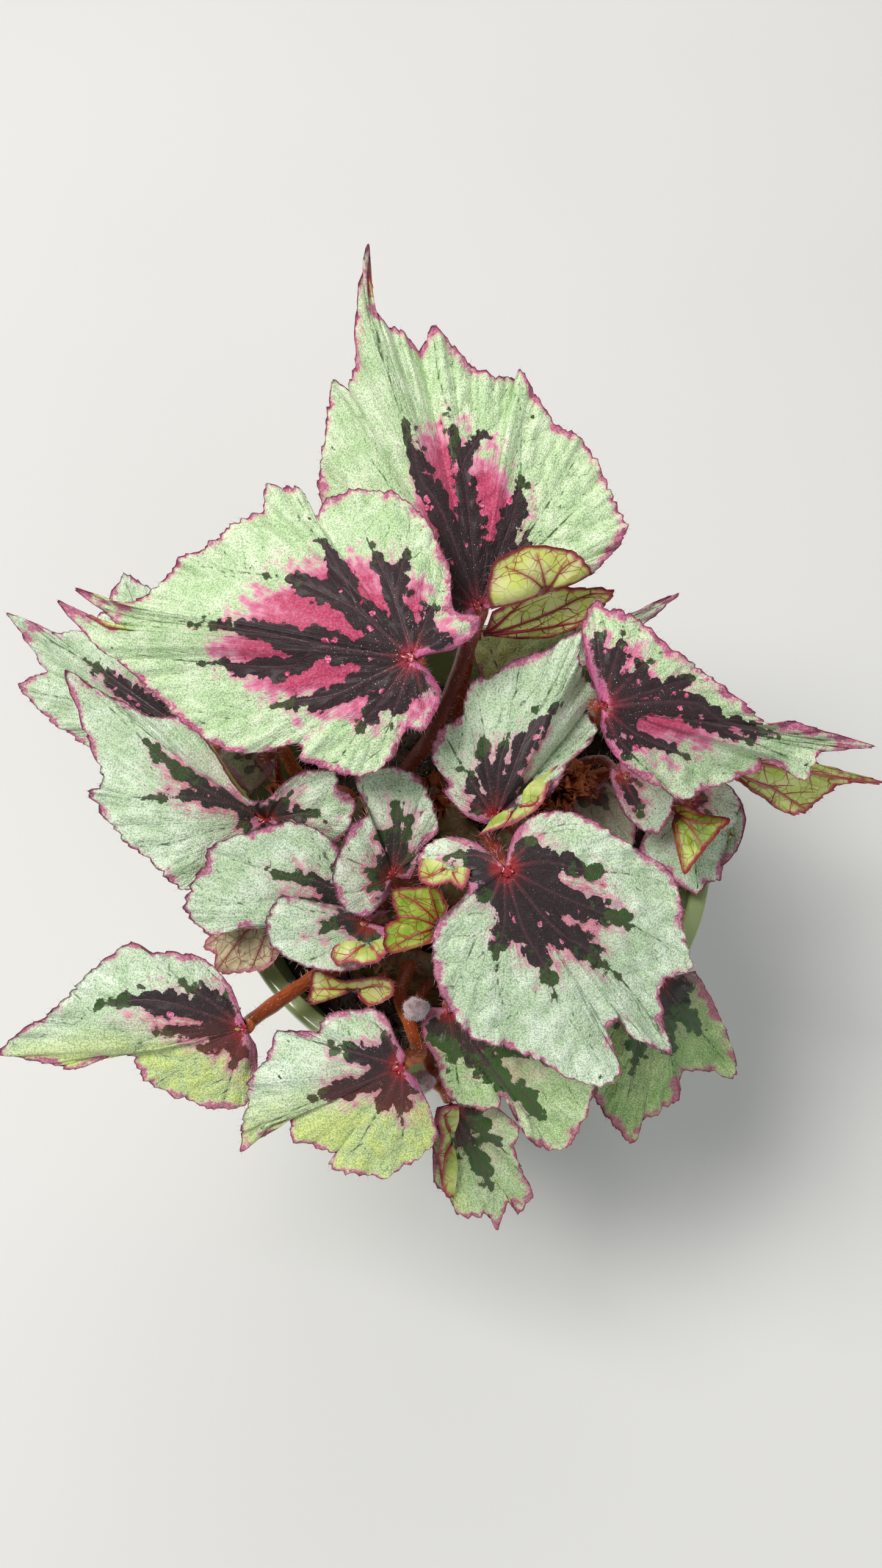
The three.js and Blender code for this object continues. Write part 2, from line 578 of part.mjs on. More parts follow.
// A thin sheet of even thickness, split alike on both faces. Each margin point is a ray of the
// mesh, and a sheet with few of them has one more ray between each two.
function sheetOf(leaf, thickness) {
  const { junction, margin, facing, ray } = bladeShape(leaf);
  const shares = margin.length > largeBladePoints ? ringShares : fewRingShares;
  const rings = shares.length;
  const raysPerPoint = margin.length > smallBladePoints ? 1 : 2;
  const rayCount = (margin.length - 1) * raysPerPoint + 1;
  const sheet = [];
  for (let r = 0; r < rayCount; r += 1) {
    const index = Math.min(Math.floor(r / raysPerPoint), margin.length - 2);
    const t = r / raysPerPoint - index;
    const wave = (r % 2 === 1 ? 1 : -1) * leaf.ruffle * (r % 4 < 2 ? 1 : lowWaveShare);
    for (const share of shares) {
      const near = [-1, 0, 1, 2].map((step) => ray(index + step, share));
      const point = between(...near, t);
      const fullness = Math.min(1, point.distanceTo(junction) / fullWaveReach);
      sheet.push(point.addScaledVector(facing, wave * fullness * share ** 3));
    }
  }
  const centre = sheet.push(junction) - 1;
  const at = (r, k) => (k === 0 ? centre : r * rings + k - 1);
  const faces = [];
  for (let r = 0; r + 1 < rayCount; r += 1) {
    faces.push([at(r, 0), at(r + 1, 1), at(r, 1)]);
    for (let k = 1; k < rings; k += 1) {
      faces.push(...flatSplit(sheet, at(r, k), at(r + 1, k), at(r + 1, k + 1), at(r, k + 1)));
    }
  }
  const count = sheet.length;
  const face = (offset) => sheet.map((p) => p.clone().addScaledVector(facing, offset));
  const points = [...face(thickness / 2), ...face(-thickness / 2)];
  const triangles = faces.map((f) => [...f]);
  faces.forEach(([a, b, c]) => triangles.push([a + count, c + count, b + count]));
  const rim = [centre];
  for (let k = 1; k <= rings; k += 1) rim.push(at(0, k));
  for (let r = 1; r < rayCount; r += 1) rim.push(at(r, rings));
  for (let k = rings - 1; k > 0; k -= 1) rim.push(at(rayCount - 1, k));
  rim.forEach((a, i) => {
    const b = rim[(i + 1) % rim.length];
    triangles.push([a, b, b + count], [a, b + count, a + count]);
  });
  return surface(points, triangles);
}

// A leaf's blade, with its rolled lobe joined on.
function bladeSolid(leaf, thickness) {
  const main = toSolid(sheetOf(leaf, thickness));
  return leaf.flap ? main.add(toSolid(sheetOf(leaf.flap, thickness))) : main;
}

// The foot of a stem inside the rhizome, and the point straight over it.
function rootPoints([x, y], extra) {
  const top = rhizomeLevel + rhizomeRadius;
  return [new THREE.Vector3(x, y, top - stalkSink - extra), new THREE.Vector3(x, y, top + stalkRise)];
}

// The stalk's curve: its root in the rhizome, its own points, and a top just under the junction.
// A blade that hangs or is turned over meets its stalk end-on instead.
function stalkPoints(leaf, extra) {
  const { junction, margin, facing } = bladeShape(leaf);
  const middle = margin.reduce((sum, m) => sum.add(m), new THREE.Vector3()).divideScalar(margin.length);
  const away = leaf.stalkFromEdge ? junction.clone().sub(middle).normalize() : facing.clone().negate();
  const start = leaf.stalkFromEdge ? clearance : bladeThickness / 2 + clearance;
  const tops = [start + stalkNeck, start].map((d) => junction.clone().addScaledVector(away, d));
  return [...rootPoints(leaf.root, extra), ...leaf.stalk.map(placed).reverse(), ...tops];
}

function stalk(leaf, extra) {
  const [topRadius, footRadius] = leaf.stalkRadius;
  return stem(stalkPoints(leaf, extra), footRadius + extra, topRadius + extra);
}

// The pot's outer wall leans out from its base up to its lip.
const lipBottom = potHeight - lipDepth;
function wallRadius(z) {
  return THREE.MathUtils.mapLinear(z, 0, lipBottom, potBaseRadius, potMouthRadius + potWall);
}

function pot() {
  const profile = [
    [0, 0],
    [wallRadius(0) - edgeRound, 0],
    [wallRadius(edgeRound), edgeRound],
    [wallRadius(lipBottom), lipBottom],
    [lipOuterRadius - edgeRound / 2, lipBottom],
    [lipOuterRadius, lipBottom + edgeRound],
    [lipOuterRadius, potHeight - edgeRound],
    [lipOuterRadius - edgeRound, potHeight],
    [potMouthRadius + edgeRound, potHeight],
    [potMouthRadius, potHeight - edgeRound],
    [wallRadius(lipBottom) - potWall, lipBottom],
    [wallRadius(potFloor) - potWall, potFloor],
    [0, potFloor],
  ];
  const shell = new THREE.LatheGeometry(profile.map(([r, z]) => new THREE.Vector2(r, z)), potSides);
  shell.rotateX(Math.PI / 2);
  let solid = toSolid(shell);
  for (let hole = 0; hole < drainHoleCount; hole += 1) {
    const turn = (2 * Math.PI * hole) / drainHoleCount;
    const drill = new THREE.CylinderGeometry(drainHoleRadius, drainHoleRadius, potFloor * 4, drainHoleSides);
    drill.rotateX(Math.PI / 2);
    drill.translate(Math.cos(turn) * drainHoleCircle, Math.sin(turn) * drainHoleCircle, 0);
    solid = solid.subtract(toSolid(drill));
  }
  return fromSolid(solid);
}

// The peat: it fills the pot up to a lumpy top, clear of the wall by the gap.
function soilBody() {
  const fillRadius = (z) => wallRadius(z) - potWall - soilWallGap;
  const lump = (x, y) => {
    const broad = Math.sin(x * 0.19 + 1.3) * Math.cos(y * 0.23);
    const fine = Math.sin(x * 0.41 - y * 0.37);
    return soilTop + soilRelief * (broad + fine / 2);
  };
  const ring = (radius, heightAt) => Array.from({ length: soilSpokes }, (_, spoke) => {
    const turn = (2 * Math.PI * spoke) / soilSpokes;
    const x = Math.cos(turn) * radius;
    const y = Math.sin(turn) * radius;
    return new THREE.Vector3(x, y, heightAt(x, y));
  });
  const edgeHeight = soilTop - soilEdgeDrop;
  const bottom = potFloor + clearance;
  const points = [];
  for (let r = 1; r < soilRings; r += 1) points.push(...ring((fillRadius(edgeHeight) * r) / soilRings, lump));
  points.push(...ring(fillRadius(edgeHeight), () => edgeHeight));
  points.push(...ring(fillRadius(bottom), () => bottom));
  const top = points.push(new THREE.Vector3(0, 0, lump(0, 0))) - 1;
  const floor = points.push(new THREE.Vector3(0, 0, bottom)) - 1;
  const triangles = [];
  for (let spoke = 0; spoke < soilSpokes; spoke += 1) {
    const next = (spoke + 1) % soilSpokes;
    triangles.push([top, spoke, next]);
    for (let r = 0; r < soilRings; r += 1) {
      const inner = r * soilSpokes;
      const outer = inner + soilSpokes;
      triangles.push([inner + spoke, outer + spoke, outer + next]);
      triangles.push([inner + spoke, outer + next, inner + next]);
    }
    triangles.push([floor, soilRings * soilSpokes + next, soilRings * soilSpokes + spoke]);
  }
  return surface(points, triangles);
}

// The rhizome: branches that creep over the peat, humped where the stalks leave them.
const rhizomeBranches = [
  [[-48, 1], [-26, -7], [-2, -11], [20, -5], [44, 3]],
  [[-42, -24], [-22, -38], [4, -42], [29, -27]],
  [[-23, -9], [-22, -37]],
  [[-22, -8], [-40, 18]],
  [[4, -10], [-9, 18]],
  [[8, -9], [30, 18]],
];

function rhizomeSolid(extra) {
  const startRadius = rhizomeRadius + extra;
  const limbs = rhizomeBranches.map((branch) => {
    const route = branch.map(([x, y], i) => new THREE.Vector3(x, y, rhizomeLevel + (i % 2) * rhizomeHump));
    const steps = (branch.length - 1) * 2;
    return toSolid(stem(route, startRadius, startRadius - rhizomeTaper, rhizomeSides, steps));
  });
  return limbs.reduce((whole, limb) => whole.add(limb));
}

// Furled young leaves on short stems: a bud's radius is its size times the narrowness, its
// length its size times the length, and its stem's radius a share of its size.
const budNarrowness = 0.8;
const budLength = 1.25;
const budStemShare = 0.32;
const buds = {
  bud_front: { tip: [682, 1652, 160], by: [[688, 1632, 142]], root: [-11, -45], size: 4.4 },
  bud_low: { tip: [692, 1772, 146], by: [[735, 1745, 141], [730, 1715, 134]], root: [8, -52], size: 4.4 },
  bud_centre: { tip: [712, 1302, 150], by: [[712, 1315, 138]], root: [-11, 5], size: 3.4 },
};

function budStem({ tip, by, root, size }, extra) {
  const route = [...rootPoints(root, extra), ...by.map(placed).reverse(), placed(tip)];
  return toSolid(stem(route, size * budStemShare + extra, size * budStemShare + extra));
}

function bud(shape) {
  const head = new THREE.SphereGeometry(shape.size, 8, 6);
  head.rotateX(Math.PI / 2);
  head.scale(budNarrowness, budNarrowness, budLength);
  head.translate(...placed(shape.tip).toArray());
  return fromSolid(toSolid(head).add(budStem(shape, 0)));
}

addMesh('pot', pot(), finishes.potPlastic);

let soil = toSolid(soilBody()).subtract(rhizomeSolid(clearance));
let rhizome = rhizomeSolid(0);
function cutSocket(socket) {
  rhizome = rhizome.subtract(socket);
  soil = soil.subtract(socket);
}
for (const [name, leaf] of Object.entries(leaves)) {
  const upperFinish = pinkLeaves.includes(name) ? finishes.bladePink : finishes.bladeSilver;
  const bladeFinish = turnedLeaves.includes(name) ? finishes.bladeUnder : upperFinish;
  const stalkFinish = orangeStalks.includes(name) ? finishes.stalkOrange : finishes.stalkRed;
  const blade = leaf.flap ? fromSolid(bladeSolid(leaf, bladeThickness)) : sheetOf(leaf, bladeThickness);
  addMesh(`blade_${name}`, blade, bladeFinish);
  const cleared = toSolid(stalk(leaf, 0)).subtract(bladeSolid(leaf, bladeThickness + 2 * clearance));
  addMesh(`stalk_${name}`, fromSolid(cleared), stalkFinish);
  cutSocket(toSolid(stalk(leaf, clearance)));
}
for (const [name, shape] of Object.entries(buds)) {
  addMesh(name, bud(shape), finishes.bud);
  cutSocket(budStem(shape, clearance));
}
addMesh('soil', fromSolid(soil), finishes.soil);
addMesh('rhizome', fromSolid(rhizome), finishes.rhizome);

export default plant;
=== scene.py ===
import math

import bmesh
import bpy
import numpy as np
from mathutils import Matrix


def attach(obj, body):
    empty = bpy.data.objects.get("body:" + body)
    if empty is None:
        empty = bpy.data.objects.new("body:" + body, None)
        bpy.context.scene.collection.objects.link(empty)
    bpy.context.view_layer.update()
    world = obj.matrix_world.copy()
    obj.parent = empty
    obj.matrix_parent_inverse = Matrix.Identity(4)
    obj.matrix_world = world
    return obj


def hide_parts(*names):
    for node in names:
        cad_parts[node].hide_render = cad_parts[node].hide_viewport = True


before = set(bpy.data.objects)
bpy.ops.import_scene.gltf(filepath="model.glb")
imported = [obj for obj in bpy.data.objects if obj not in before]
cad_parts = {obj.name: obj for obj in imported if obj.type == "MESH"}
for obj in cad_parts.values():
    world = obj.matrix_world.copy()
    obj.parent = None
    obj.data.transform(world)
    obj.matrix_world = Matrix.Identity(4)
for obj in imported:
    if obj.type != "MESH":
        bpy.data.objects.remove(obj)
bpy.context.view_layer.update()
print("frame loaded")

mm = 0.001

# The photo's view: the leaf outlines below are read in it, and the camera stands in it.
view = {
    "eye": (-8, -123, 464),      # mm
    "downDegrees": 67,
    "focal": 1850,               # pixels
    "middle": (722.5, 1284.5),
    "rows": 2569,
}
eye = np.array(view["eye"], float)
downAngle = math.radians(view["downDegrees"])
viewAhead = np.array([0, math.cos(downAngle), -math.sin(downAngle)])
viewUp = np.array([0, math.sin(downAngle), math.cos(downAngle)])
viewRight = np.array([1.0, 0, 0])


# The places in the plant, in mm, that show at columns and rows of the view, at heights.
def placed(points):
    column, row, height = np.array(points, float).reshape(-1, 3).T
    ray = viewAhead + np.outer((column - view["middle"][0]) / view["focal"], viewRight)
    ray = ray + np.outer((view["middle"][1] - row) / view["focal"], viewUp)
    return eye + ray * ((height - eye[2]) / ray[:, 2])[:, None]


# Column and row of places given in mm.
def seen(places):
    out = np.asarray(places) - eye
    depth = out @ viewAhead
    column = view["middle"][0] + view["focal"] * (out @ viewRight) / depth
    row = view["middle"][1] - view["focal"] * (out @ viewUp) / depth
    return np.stack([column, row], -1)


# Each leaf, its shape as in the part's source. Points are column, row and height. The margin runs
# round the junction of the veins from one side of the sinus to the other, and warm says from where
# to where light makes it yellow-green. A main vein is the share of it inside the dark star, the
# half width of the star's arm in mm and its columns and rows from the junction out, a fork starts
# at its own first point, and plainVeins have no star. flap is a lobe that rolls over and shows
# its underside.
leaves = {
    "back_tall": {
        "look": "pink", "under": "creamLitUnder", "arch": 0.05, "ruffle": 0.7, "junction": (785, 1000, 196),
        "margin": [
            (760, 1022, 192), (690, 1010, 188), (600, 945, 188), (545, 870, 192), (522, 800, 197),
            (528, 745, 202), (536, 690, 206), (543, 626, 211), (571, 634, 215), (582, 590, 221),
            (584, 504, 231), (603, 398, 238), (608, 492, 231), (630, 528, 227), (660, 545, 223),
            (687, 571, 220), (711, 535, 224), (742, 566, 221), (775, 600, 219), (812, 618, 217),
            (842, 616, 216), (853, 606, 218), (880, 650, 214), (912, 696, 211), (950, 718, 209),
            (980, 760, 207), (1004, 815, 205), (1027, 862, 203), (1018, 888, 201), (996, 915, 201),
            (972, 938, 200), (944, 954, 199), (900, 968, 198), (846, 985, 196), (806, 996, 196),
        ],
        "veins": [
            (0.62, 4.6, [(740, 880), (695, 790), (670, 710), (650, 650), (630, 600), (612, 530),
                (605, 440)]),
            (0.7, 4.2, [(765, 830), (757, 770), (735, 690), (720, 610), (712, 545)]),
            (0.62, 4.6, [(835, 870), (850, 790), (852, 700), (853, 612)]),
            (0.5, 3.6, [(880, 850), (930, 770), (958, 722)]),
            (0.32, 3, [(900, 880), (985, 805), (1010, 835)]),
            (0.3, 3, [(700, 890), (640, 800), (580, 720), (545, 690)]),
            (0.2, 2.6, [(690, 950), (600, 880), (535, 830)]),
        ],
        "forks": [(0.55, 3.2, [(757, 770), (785, 715), (795, 660), (812, 622)])],
        "flap": {
            "look": "creamLitUnder", "arch": 0.1, "ruffle": 0.3, "junction": (895, 968, 199),
            "margin": [
                (804, 998, 196.4), (798, 960, 203), (812, 918, 209), (868, 893, 211), (936, 902, 208),
                (960, 922, 205), (971, 941, 200.6),
            ],
            "plainVeins": [[(870, 945), (830, 930)], [(885, 930), (880, 905)], [(915, 935), (945, 918)]],
        },
        "root": (-21, 3), "stalkRadius": (2.1, 2.7),
        "stalk": [(765, 1062, 183), (740, 1130, 172), (700, 1215, 158), (668, 1262, 146)],
    },
    "back_folded": {
        "look": "creamLitUnder", "arch": -0.04, "ruffle": 0.3, "junction": (792, 1040, 184),
        "margin": [
            (840, 1046, 183), (895, 1046, 182), (945, 1030, 185), (985, 1000, 188), (1006, 968, 192),
            (960, 963, 195), (905, 965, 196), (850, 982, 194), (806, 1003, 190),
        ],
        "plainVeins": [
            [(870, 1015), (960, 975), (1000, 970)], [(860, 1035), (940, 1020), (975, 1005)],
            [(830, 1010), (855, 985)],
        ],
        "root": (-9, 15), "stalkRadius": (1.3, 1.8), "stalkFromEdge": True,
        "stalk": [(768, 1085, 166), (746, 1180, 138)],
    },
    "back_grey": {
        "look": "silver", "arch": 0.04, "ruffle": 0.5, "junction": (830, 1125, 166),
        "warm": [(960, 1060), (880, 1000)],
        "margin": [
            (812, 1150, 162), (787, 1105, 160), (778, 1045, 163), (840, 1020, 170), (930, 1025, 176),
            (1030, 1005, 178), (1112, 972, 182), (1040, 1035, 176), (960, 1090, 172), (880, 1140, 166),
        ],
        "veins": [
            (0.15, 1.5, [(880, 1070), (960, 1040), (1050, 1005), (1100, 978)]),
            (0.1, 1.5, [(810, 1080), (800, 1050)]), (0.1, 1.5, [(850, 1070), (880, 1030)]),
        ],
        "root": (3, 14), "stalkRadius": (1.4, 1.9), "stalk": [(800, 1200, 140)],
    },
    "left_large": {
        "look": "pink", "arch": 0.045, "ruffle": 0.7, "junction": (677, 1079, 210),
        "margin": [
            (700, 1096, 208), (721, 1128, 206), (716, 1165, 204), (692, 1198, 203), (668, 1194, 202),
            (645, 1238, 198), (620, 1262, 195), (572, 1271, 193), (530, 1258, 193), (494, 1244, 193),
            (490, 1219, 194), (440, 1230, 191), (385, 1234, 189), (335, 1210, 188), (290, 1174, 188),
            (248, 1132, 188), (200, 1088, 190), (157, 1058, 193), (93, 983, 192), (172, 1026, 195),
            (186, 1016, 195), (120, 962, 194), (190, 988, 198), (212, 985, 198), (258, 966, 200),
            (287, 922, 203), (318, 905, 204), (352, 888, 206), (372, 862, 207), (404, 852, 208),
            (429, 836, 208), (437, 797, 211), (470, 798, 211), (497, 806, 211), (516, 843, 210),
            (545, 813, 212), (600, 802, 214), (650, 811, 215), (690, 842, 215), (718, 890, 214),
            (738, 940, 213), (744, 1000, 212), (786, 1012, 213), (775, 1045, 211), (740, 1066, 209),
        ],
        "veins": [
            (0.62, 4.4, [(550, 1062), (490, 1047), (400, 1030), (300, 1018), (200, 1022), (120, 1000)]),
            (0.66, 4.4, [(590, 1005), (540, 975), (470, 950), (380, 935), (290, 925)]),
            (0.66, 4, [(655, 1010), (640, 960), (605, 895), (590, 850), (560, 815)]),
            (0.55, 3.4, [(706, 1000), (722, 940), (720, 900)]),
            (0.6, 4, [(570, 1130), (500, 1147), (435, 1160), (370, 1180), (300, 1180)]),
            (0.66, 4, [(625, 1150), (590, 1195), (560, 1240), (545, 1262)]),
            (0.66, 3.4, [(655, 1145), (632, 1200), (615, 1258)]), (0.45, 2.4, [(690, 1130), (695, 1190)]),
        ],
        "forks": [
            (0.62, 3.6, [(550, 1062), (490, 1085), (400, 1093), (320, 1085), (240, 1075), (165, 1058)]),
            (0.55, 3.4, [(590, 1005), (572, 960), (540, 905), (495, 855), (440, 802)]),
            (0.5, 3.4, [(650, 990), (663, 915), (670, 860), (660, 818)]),
        ],
        "root": (-30, 10), "stalkRadius": (2.2, 2.8),
        "stalk": [(690, 1120, 190), (660, 1180, 160), (615, 1260, 135)],
    },
    "left_pale": {
        "look": "jade", "arch": 0.06, "ruffle": 0.6, "junction": (437, 1342, 166),
        "margin": [
            (420, 1372, 163), (370, 1420, 160), (302, 1458, 160), (262, 1425, 163), (213, 1385, 166),
            (178, 1346, 169), (145, 1299, 172), (168, 1286, 173), (160, 1250, 174), (138, 1195, 175),
            (107, 1100, 180), (150, 1125, 179), (200, 1149, 181), (252, 1174, 182), (310, 1175, 181),
            (345, 1225, 180), (370, 1265, 179), (398, 1303, 177), (430, 1312, 172), (452, 1297, 175),
            (472, 1278, 177), (502, 1262, 178), (548, 1264, 178), (555, 1290, 176), (580, 1309, 174),
            (574, 1350, 171), (550, 1380, 166), (500, 1388, 162),
        ],
        "veins": [
            (0.62, 3, [(345, 1300), (290, 1255), (240, 1215), (180, 1165), (115, 1107)]),
            (0.25, 2, [(350, 1360), (290, 1378), (225, 1388)]),
            (0.2, 2, [(390, 1390), (335, 1430), (305, 1455)]),
            (0.75, 2.4, [(455, 1318), (475, 1300), (500, 1270)]),
            (0.85, 2.6, [(500, 1335), (545, 1350), (572, 1352)]),
        ],
        "forks": [(0.6, 2.6, [(375, 1316), (270, 1308), (205, 1305), (150, 1300)])],
        "root": (-40, -6), "stalkRadius": (1.9, 2.4), "stalk": [(455, 1375, 150), (500, 1410, 128)],
    },
    "far_left": {
        "look": "silver", "arch": 0.05, "ruffle": 0.5, "junction": (300, 1195, 162),
        "margin": [
            (288, 1228, 160), (210, 1240, 156), (135, 1218, 152), (112, 1200, 152), (94, 1190, 152),
            (62, 1160, 151), (33, 1128, 151), (55, 1108, 153), (73, 1098, 154), (45, 1052, 154),
            (13, 1006, 156), (60, 1022, 158), (100, 1038, 160), (160, 1015, 165), (200, 943, 169),
            (236, 958, 171), (270, 985, 171), (320, 1060, 170), (335, 1150, 168),
        ],
        "veins": [
            (0.6, 3.4, [(240, 1150), (180, 1110), (100, 1060), (22, 1010)]),
            (0.4, 2.6, [(240, 1180), (160, 1155), (42, 1130)]),
            (0.3, 2.4, [(270, 1110), (230, 1020), (207, 955)]), (0.3, 2.2, [(230, 1212), (140, 1214)]),
        ],
        "root": (-39, 17), "stalkRadius": (1.9, 2.3),
        "stalk": [(340, 1225, 152), (410, 1225, 150), (462, 1230, 146), (490, 1270, 134)],
    },
    "left_low": {
        "look": "dull", "arch": 0.05, "ruffle": 0.5, "junction": (440, 1240, 162),
        "margin": [
            (452, 1255, 160), (436, 1280, 156), (408, 1299, 153), (378, 1272, 155), (352, 1245, 158),
            (370, 1215, 161), (415, 1195, 164),
        ],
        "veins": [
            (0.8, 2.4, [(415, 1258), (385, 1280)]), (0.8, 2, [(400, 1240), (360, 1245)]),
            (0.6, 1.6, [(438, 1265), (425, 1285)]),
        ],
        "root": (-47, 3), "stalkRadius": (1.2, 1.6), "stalk": [(462, 1290, 145)],
    },
    "right_large": {
        "look": "pink", "arch": 0.07, "ruffle": 0.6, "junction": (985, 1158, 199),
        "margin": [
            (966, 1105, 202), (955, 1060, 204), (955, 1020, 206), (966, 992, 207), (982, 984, 207),
            (992, 997, 207), (1012, 999, 207), (1048, 1016, 206), (1095, 1058, 203), (1132, 1084, 201),
            (1165, 1110, 198), (1212, 1146, 195), (1240, 1172, 192), (1262, 1187, 189), (1297, 1181, 187),
            (1345, 1196, 183), (1428, 1222, 176), (1352, 1232, 180), (1333, 1243, 180), (1322, 1280, 177),
            (1285, 1262, 178), (1250, 1243, 180), (1242, 1262, 179), (1190, 1281, 179), (1150, 1297, 180),
            (1113, 1309, 181), (1085, 1292, 184), (1055, 1278, 187), (1020, 1252, 190), (996, 1222, 193),
            (983, 1190, 196),
        ],
        "veins": [
            (0.8, 3, [(985, 1100), (978, 1040), (980, 995)]),
            (0.8, 3.4, [(1005, 1090), (1022, 1035), (1042, 1020)]),
            (0.75, 3.2, [(1035, 1105), (1080, 1070), (1100, 1065)]),
            (0.72, 3.6, [(1060, 1135), (1140, 1115), (1205, 1148)]),
            (0.66, 4, [(1070, 1152), (1150, 1160), (1250, 1200), (1340, 1215), (1422, 1223)]),
            (0.7, 3, [(1030, 1195), (1090, 1225), (1150, 1250), (1190, 1278)]),
            (0.6, 2.6, [(1005, 1200), (1050, 1250), (1100, 1300)]),
        ],
        "forks": [(0.5, 3, [(1130, 1157), (1180, 1190), (1240, 1220), (1318, 1275)])],
        "root": (22, -1), "stalkRadius": (2, 2.6),
        "stalk": [(976, 1174, 174), (925, 1218, 158), (886, 1300, 138)],
    },
    "far_right": {
        "look": "under", "arch": 0.06, "ruffle": 0.5, "junction": (1150, 1215, 168),
        "margin": [
            (1185, 1185, 166), (1230, 1200, 164), (1300, 1235, 161), (1362, 1258, 158), (1445, 1282, 154),
            (1384, 1284, 155), (1352, 1302, 155), (1322, 1329, 154), (1292, 1334, 155), (1250, 1308, 158),
            (1205, 1278, 163), (1150, 1250, 166),
        ],
        "plainVeins": [
            [(1230, 1245), (1300, 1262), (1380, 1275), (1440, 1282)],
            [(1210, 1262), (1260, 1290), (1318, 1325)], [(1190, 1262), (1240, 1298)],
            [(1210, 1215), (1290, 1235)],
        ],
        "root": (31, 17), "stalkRadius": (1.8, 2.2),
        "stalk": [(1080, 1240, 157), (1000, 1265, 149), (950, 1280, 137)],
    },
    "right_small": {
        "look": "silver", "arch": 0.05, "ruffle": 0.5, "junction": (1014, 1264, 168),
        "margin": [
            (1014, 1244, 171), (1050, 1262, 169), (1080, 1278, 167), (1103, 1295, 165), (1102, 1320, 163),
            (1092, 1345, 161), (1078, 1366, 159), (1045, 1356, 160), (1020, 1330, 163), (1008, 1300, 166),
            (999, 1272, 169), (1002, 1256, 170),
        ],
        "veins": [
            (0.7, 2.6, [(1035, 1300), (1058, 1340), (1076, 1362)]), (0.5, 2, [(1050, 1285), (1098, 1300)]),
            (0.4, 2, [(1018, 1300), (1045, 1352)]),
        ],
        "root": (30, 6), "stalkRadius": (1.3, 1.8),
        "stalk": [(985, 1244, 160), (942, 1256, 152), (918, 1296, 138)],
    },
    "right_silver": {
        "look": "silver", "arch": 0.05, "ruffle": 0.5, "junction": (1125, 1310, 150),
        "margin": [
            (1145, 1275, 152), (1188, 1282, 152), (1216, 1318, 149), (1212, 1352, 146), (1207, 1393, 143),
            (1188, 1405, 143), (1180, 1441, 141), (1160, 1445, 141), (1141, 1465, 140), (1100, 1440, 142),
            (1048, 1392, 143), (1080, 1330, 145), (1105, 1290, 148),
        ],
        "veins": [
            (0.35, 2.4, [(1160, 1330), (1188, 1370), (1190, 1402)]), (0.3, 2, [(1170, 1310), (1212, 1322)]),
            (0.2, 2, [(1135, 1370), (1145, 1458)]), (0.2, 2, [(1100, 1360), (1055, 1393)]),
        ],
        "root": (42, 7), "stalkRadius": (1.4, 1.9), "stalk": [(1090, 1330, 134)],
    },
    "right_turned": {
        "look": "greenUnder", "arch": -0.05, "ruffle": 0.3, "junction": (1107, 1334, 155),
        "margin": [
            (1100, 1350, 154), (1108, 1390, 154), (1121, 1433, 155), (1140, 1410, 157), (1158, 1388, 159),
            (1178, 1362, 161), (1197, 1342, 162), (1155, 1334, 161), (1125, 1320, 159), (1098, 1312, 157),
        ],
        "plainVeins": [
            [(1125, 1350), (1150, 1385), (1160, 1386)], [(1140, 1346), (1175, 1350), (1192, 1344)],
            [(1112, 1370), (1122, 1428)], [(1125, 1330), (1150, 1335)],
        ],
        "root": (41, -5), "stalkRadius": (1.1, 1.6), "stalkFromEdge": True,
        "stalk": [(1075, 1328, 153), (1035, 1322, 147), (1000, 1335, 136)],
    },
    "right_low": {
        "look": "dull", "arch": 0.05, "ruffle": 0.4, "junction": (968, 1294, 153),
        "margin": [
            (990, 1278, 157), (1015, 1295, 154), (1040, 1330, 151), (1035, 1385, 148), (985, 1368, 149),
            (945, 1345, 150), (938, 1308, 151), (950, 1290, 152),
        ],
        "veins": [
            (0.5, 2, [(1000, 1330), (1030, 1378)]), (0.4, 2, [(968, 1330), (985, 1364)]),
            (0.4, 2, [(1000, 1302), (1035, 1328)]),
        ],
        "root": (37, 3), "stalkRadius": (1.2, 1.6), "stalk": [(930, 1330, 138)],
    },
    "mid_right": {
        "look": "silver", "arch": 0.05, "ruffle": 0.6, "junction": (812, 1342, 180),
        "margin": [
            (795, 1350, 179), (762, 1336, 180), (728, 1298, 182), (734, 1284, 183), (708, 1245, 185),
            (710, 1220, 186), (722, 1195, 188), (757, 1172, 190), (762, 1140, 191), (778, 1113, 192),
            (805, 1108, 193), (838, 1084, 194), (895, 1064, 195), (950, 1032, 197), (950, 1075, 196),
            (954, 1104, 190), (984, 1141, 182), (958, 1166, 180), (978, 1196, 180), (960, 1225, 182),
            (930, 1250, 186), (920, 1276, 185), (897, 1305, 183), (864, 1320, 181), (838, 1342, 180),
        ],
        "veins": [
            (0.66, 2.8, [(780, 1290), (757, 1252), (735, 1215), (715, 1205)]),
            (0.66, 3, [(800, 1270), (793, 1205), (785, 1150), (782, 1116)]),
            (0.62, 2.8, [(818, 1270), (832, 1200), (843, 1130), (848, 1088)]),
            (0.62, 3.2, [(838, 1265), (870, 1185), (912, 1110), (948, 1036)]),
            (0.4, 2.6, [(860, 1290), (915, 1240), (970, 1195)]), (0.3, 2.2, [(850, 1318), (915, 1278)]),
            (0.4, 2.2, [(780, 1320), (735, 1298)]),
        ],
        "forks": [(0.62, 2.8, [(856, 1220), (900, 1170), (935, 1130), (952, 1100)])],
        "root": (16, -6), "stalkRadius": (1.9, 2.4), "stalk": [(836, 1348, 169), (872, 1388, 148)],
    },
    "centre": {
        "look": "jade", "arch": 0.05, "ruffle": 0.5, "junction": (643, 1436, 170),
        "margin": [
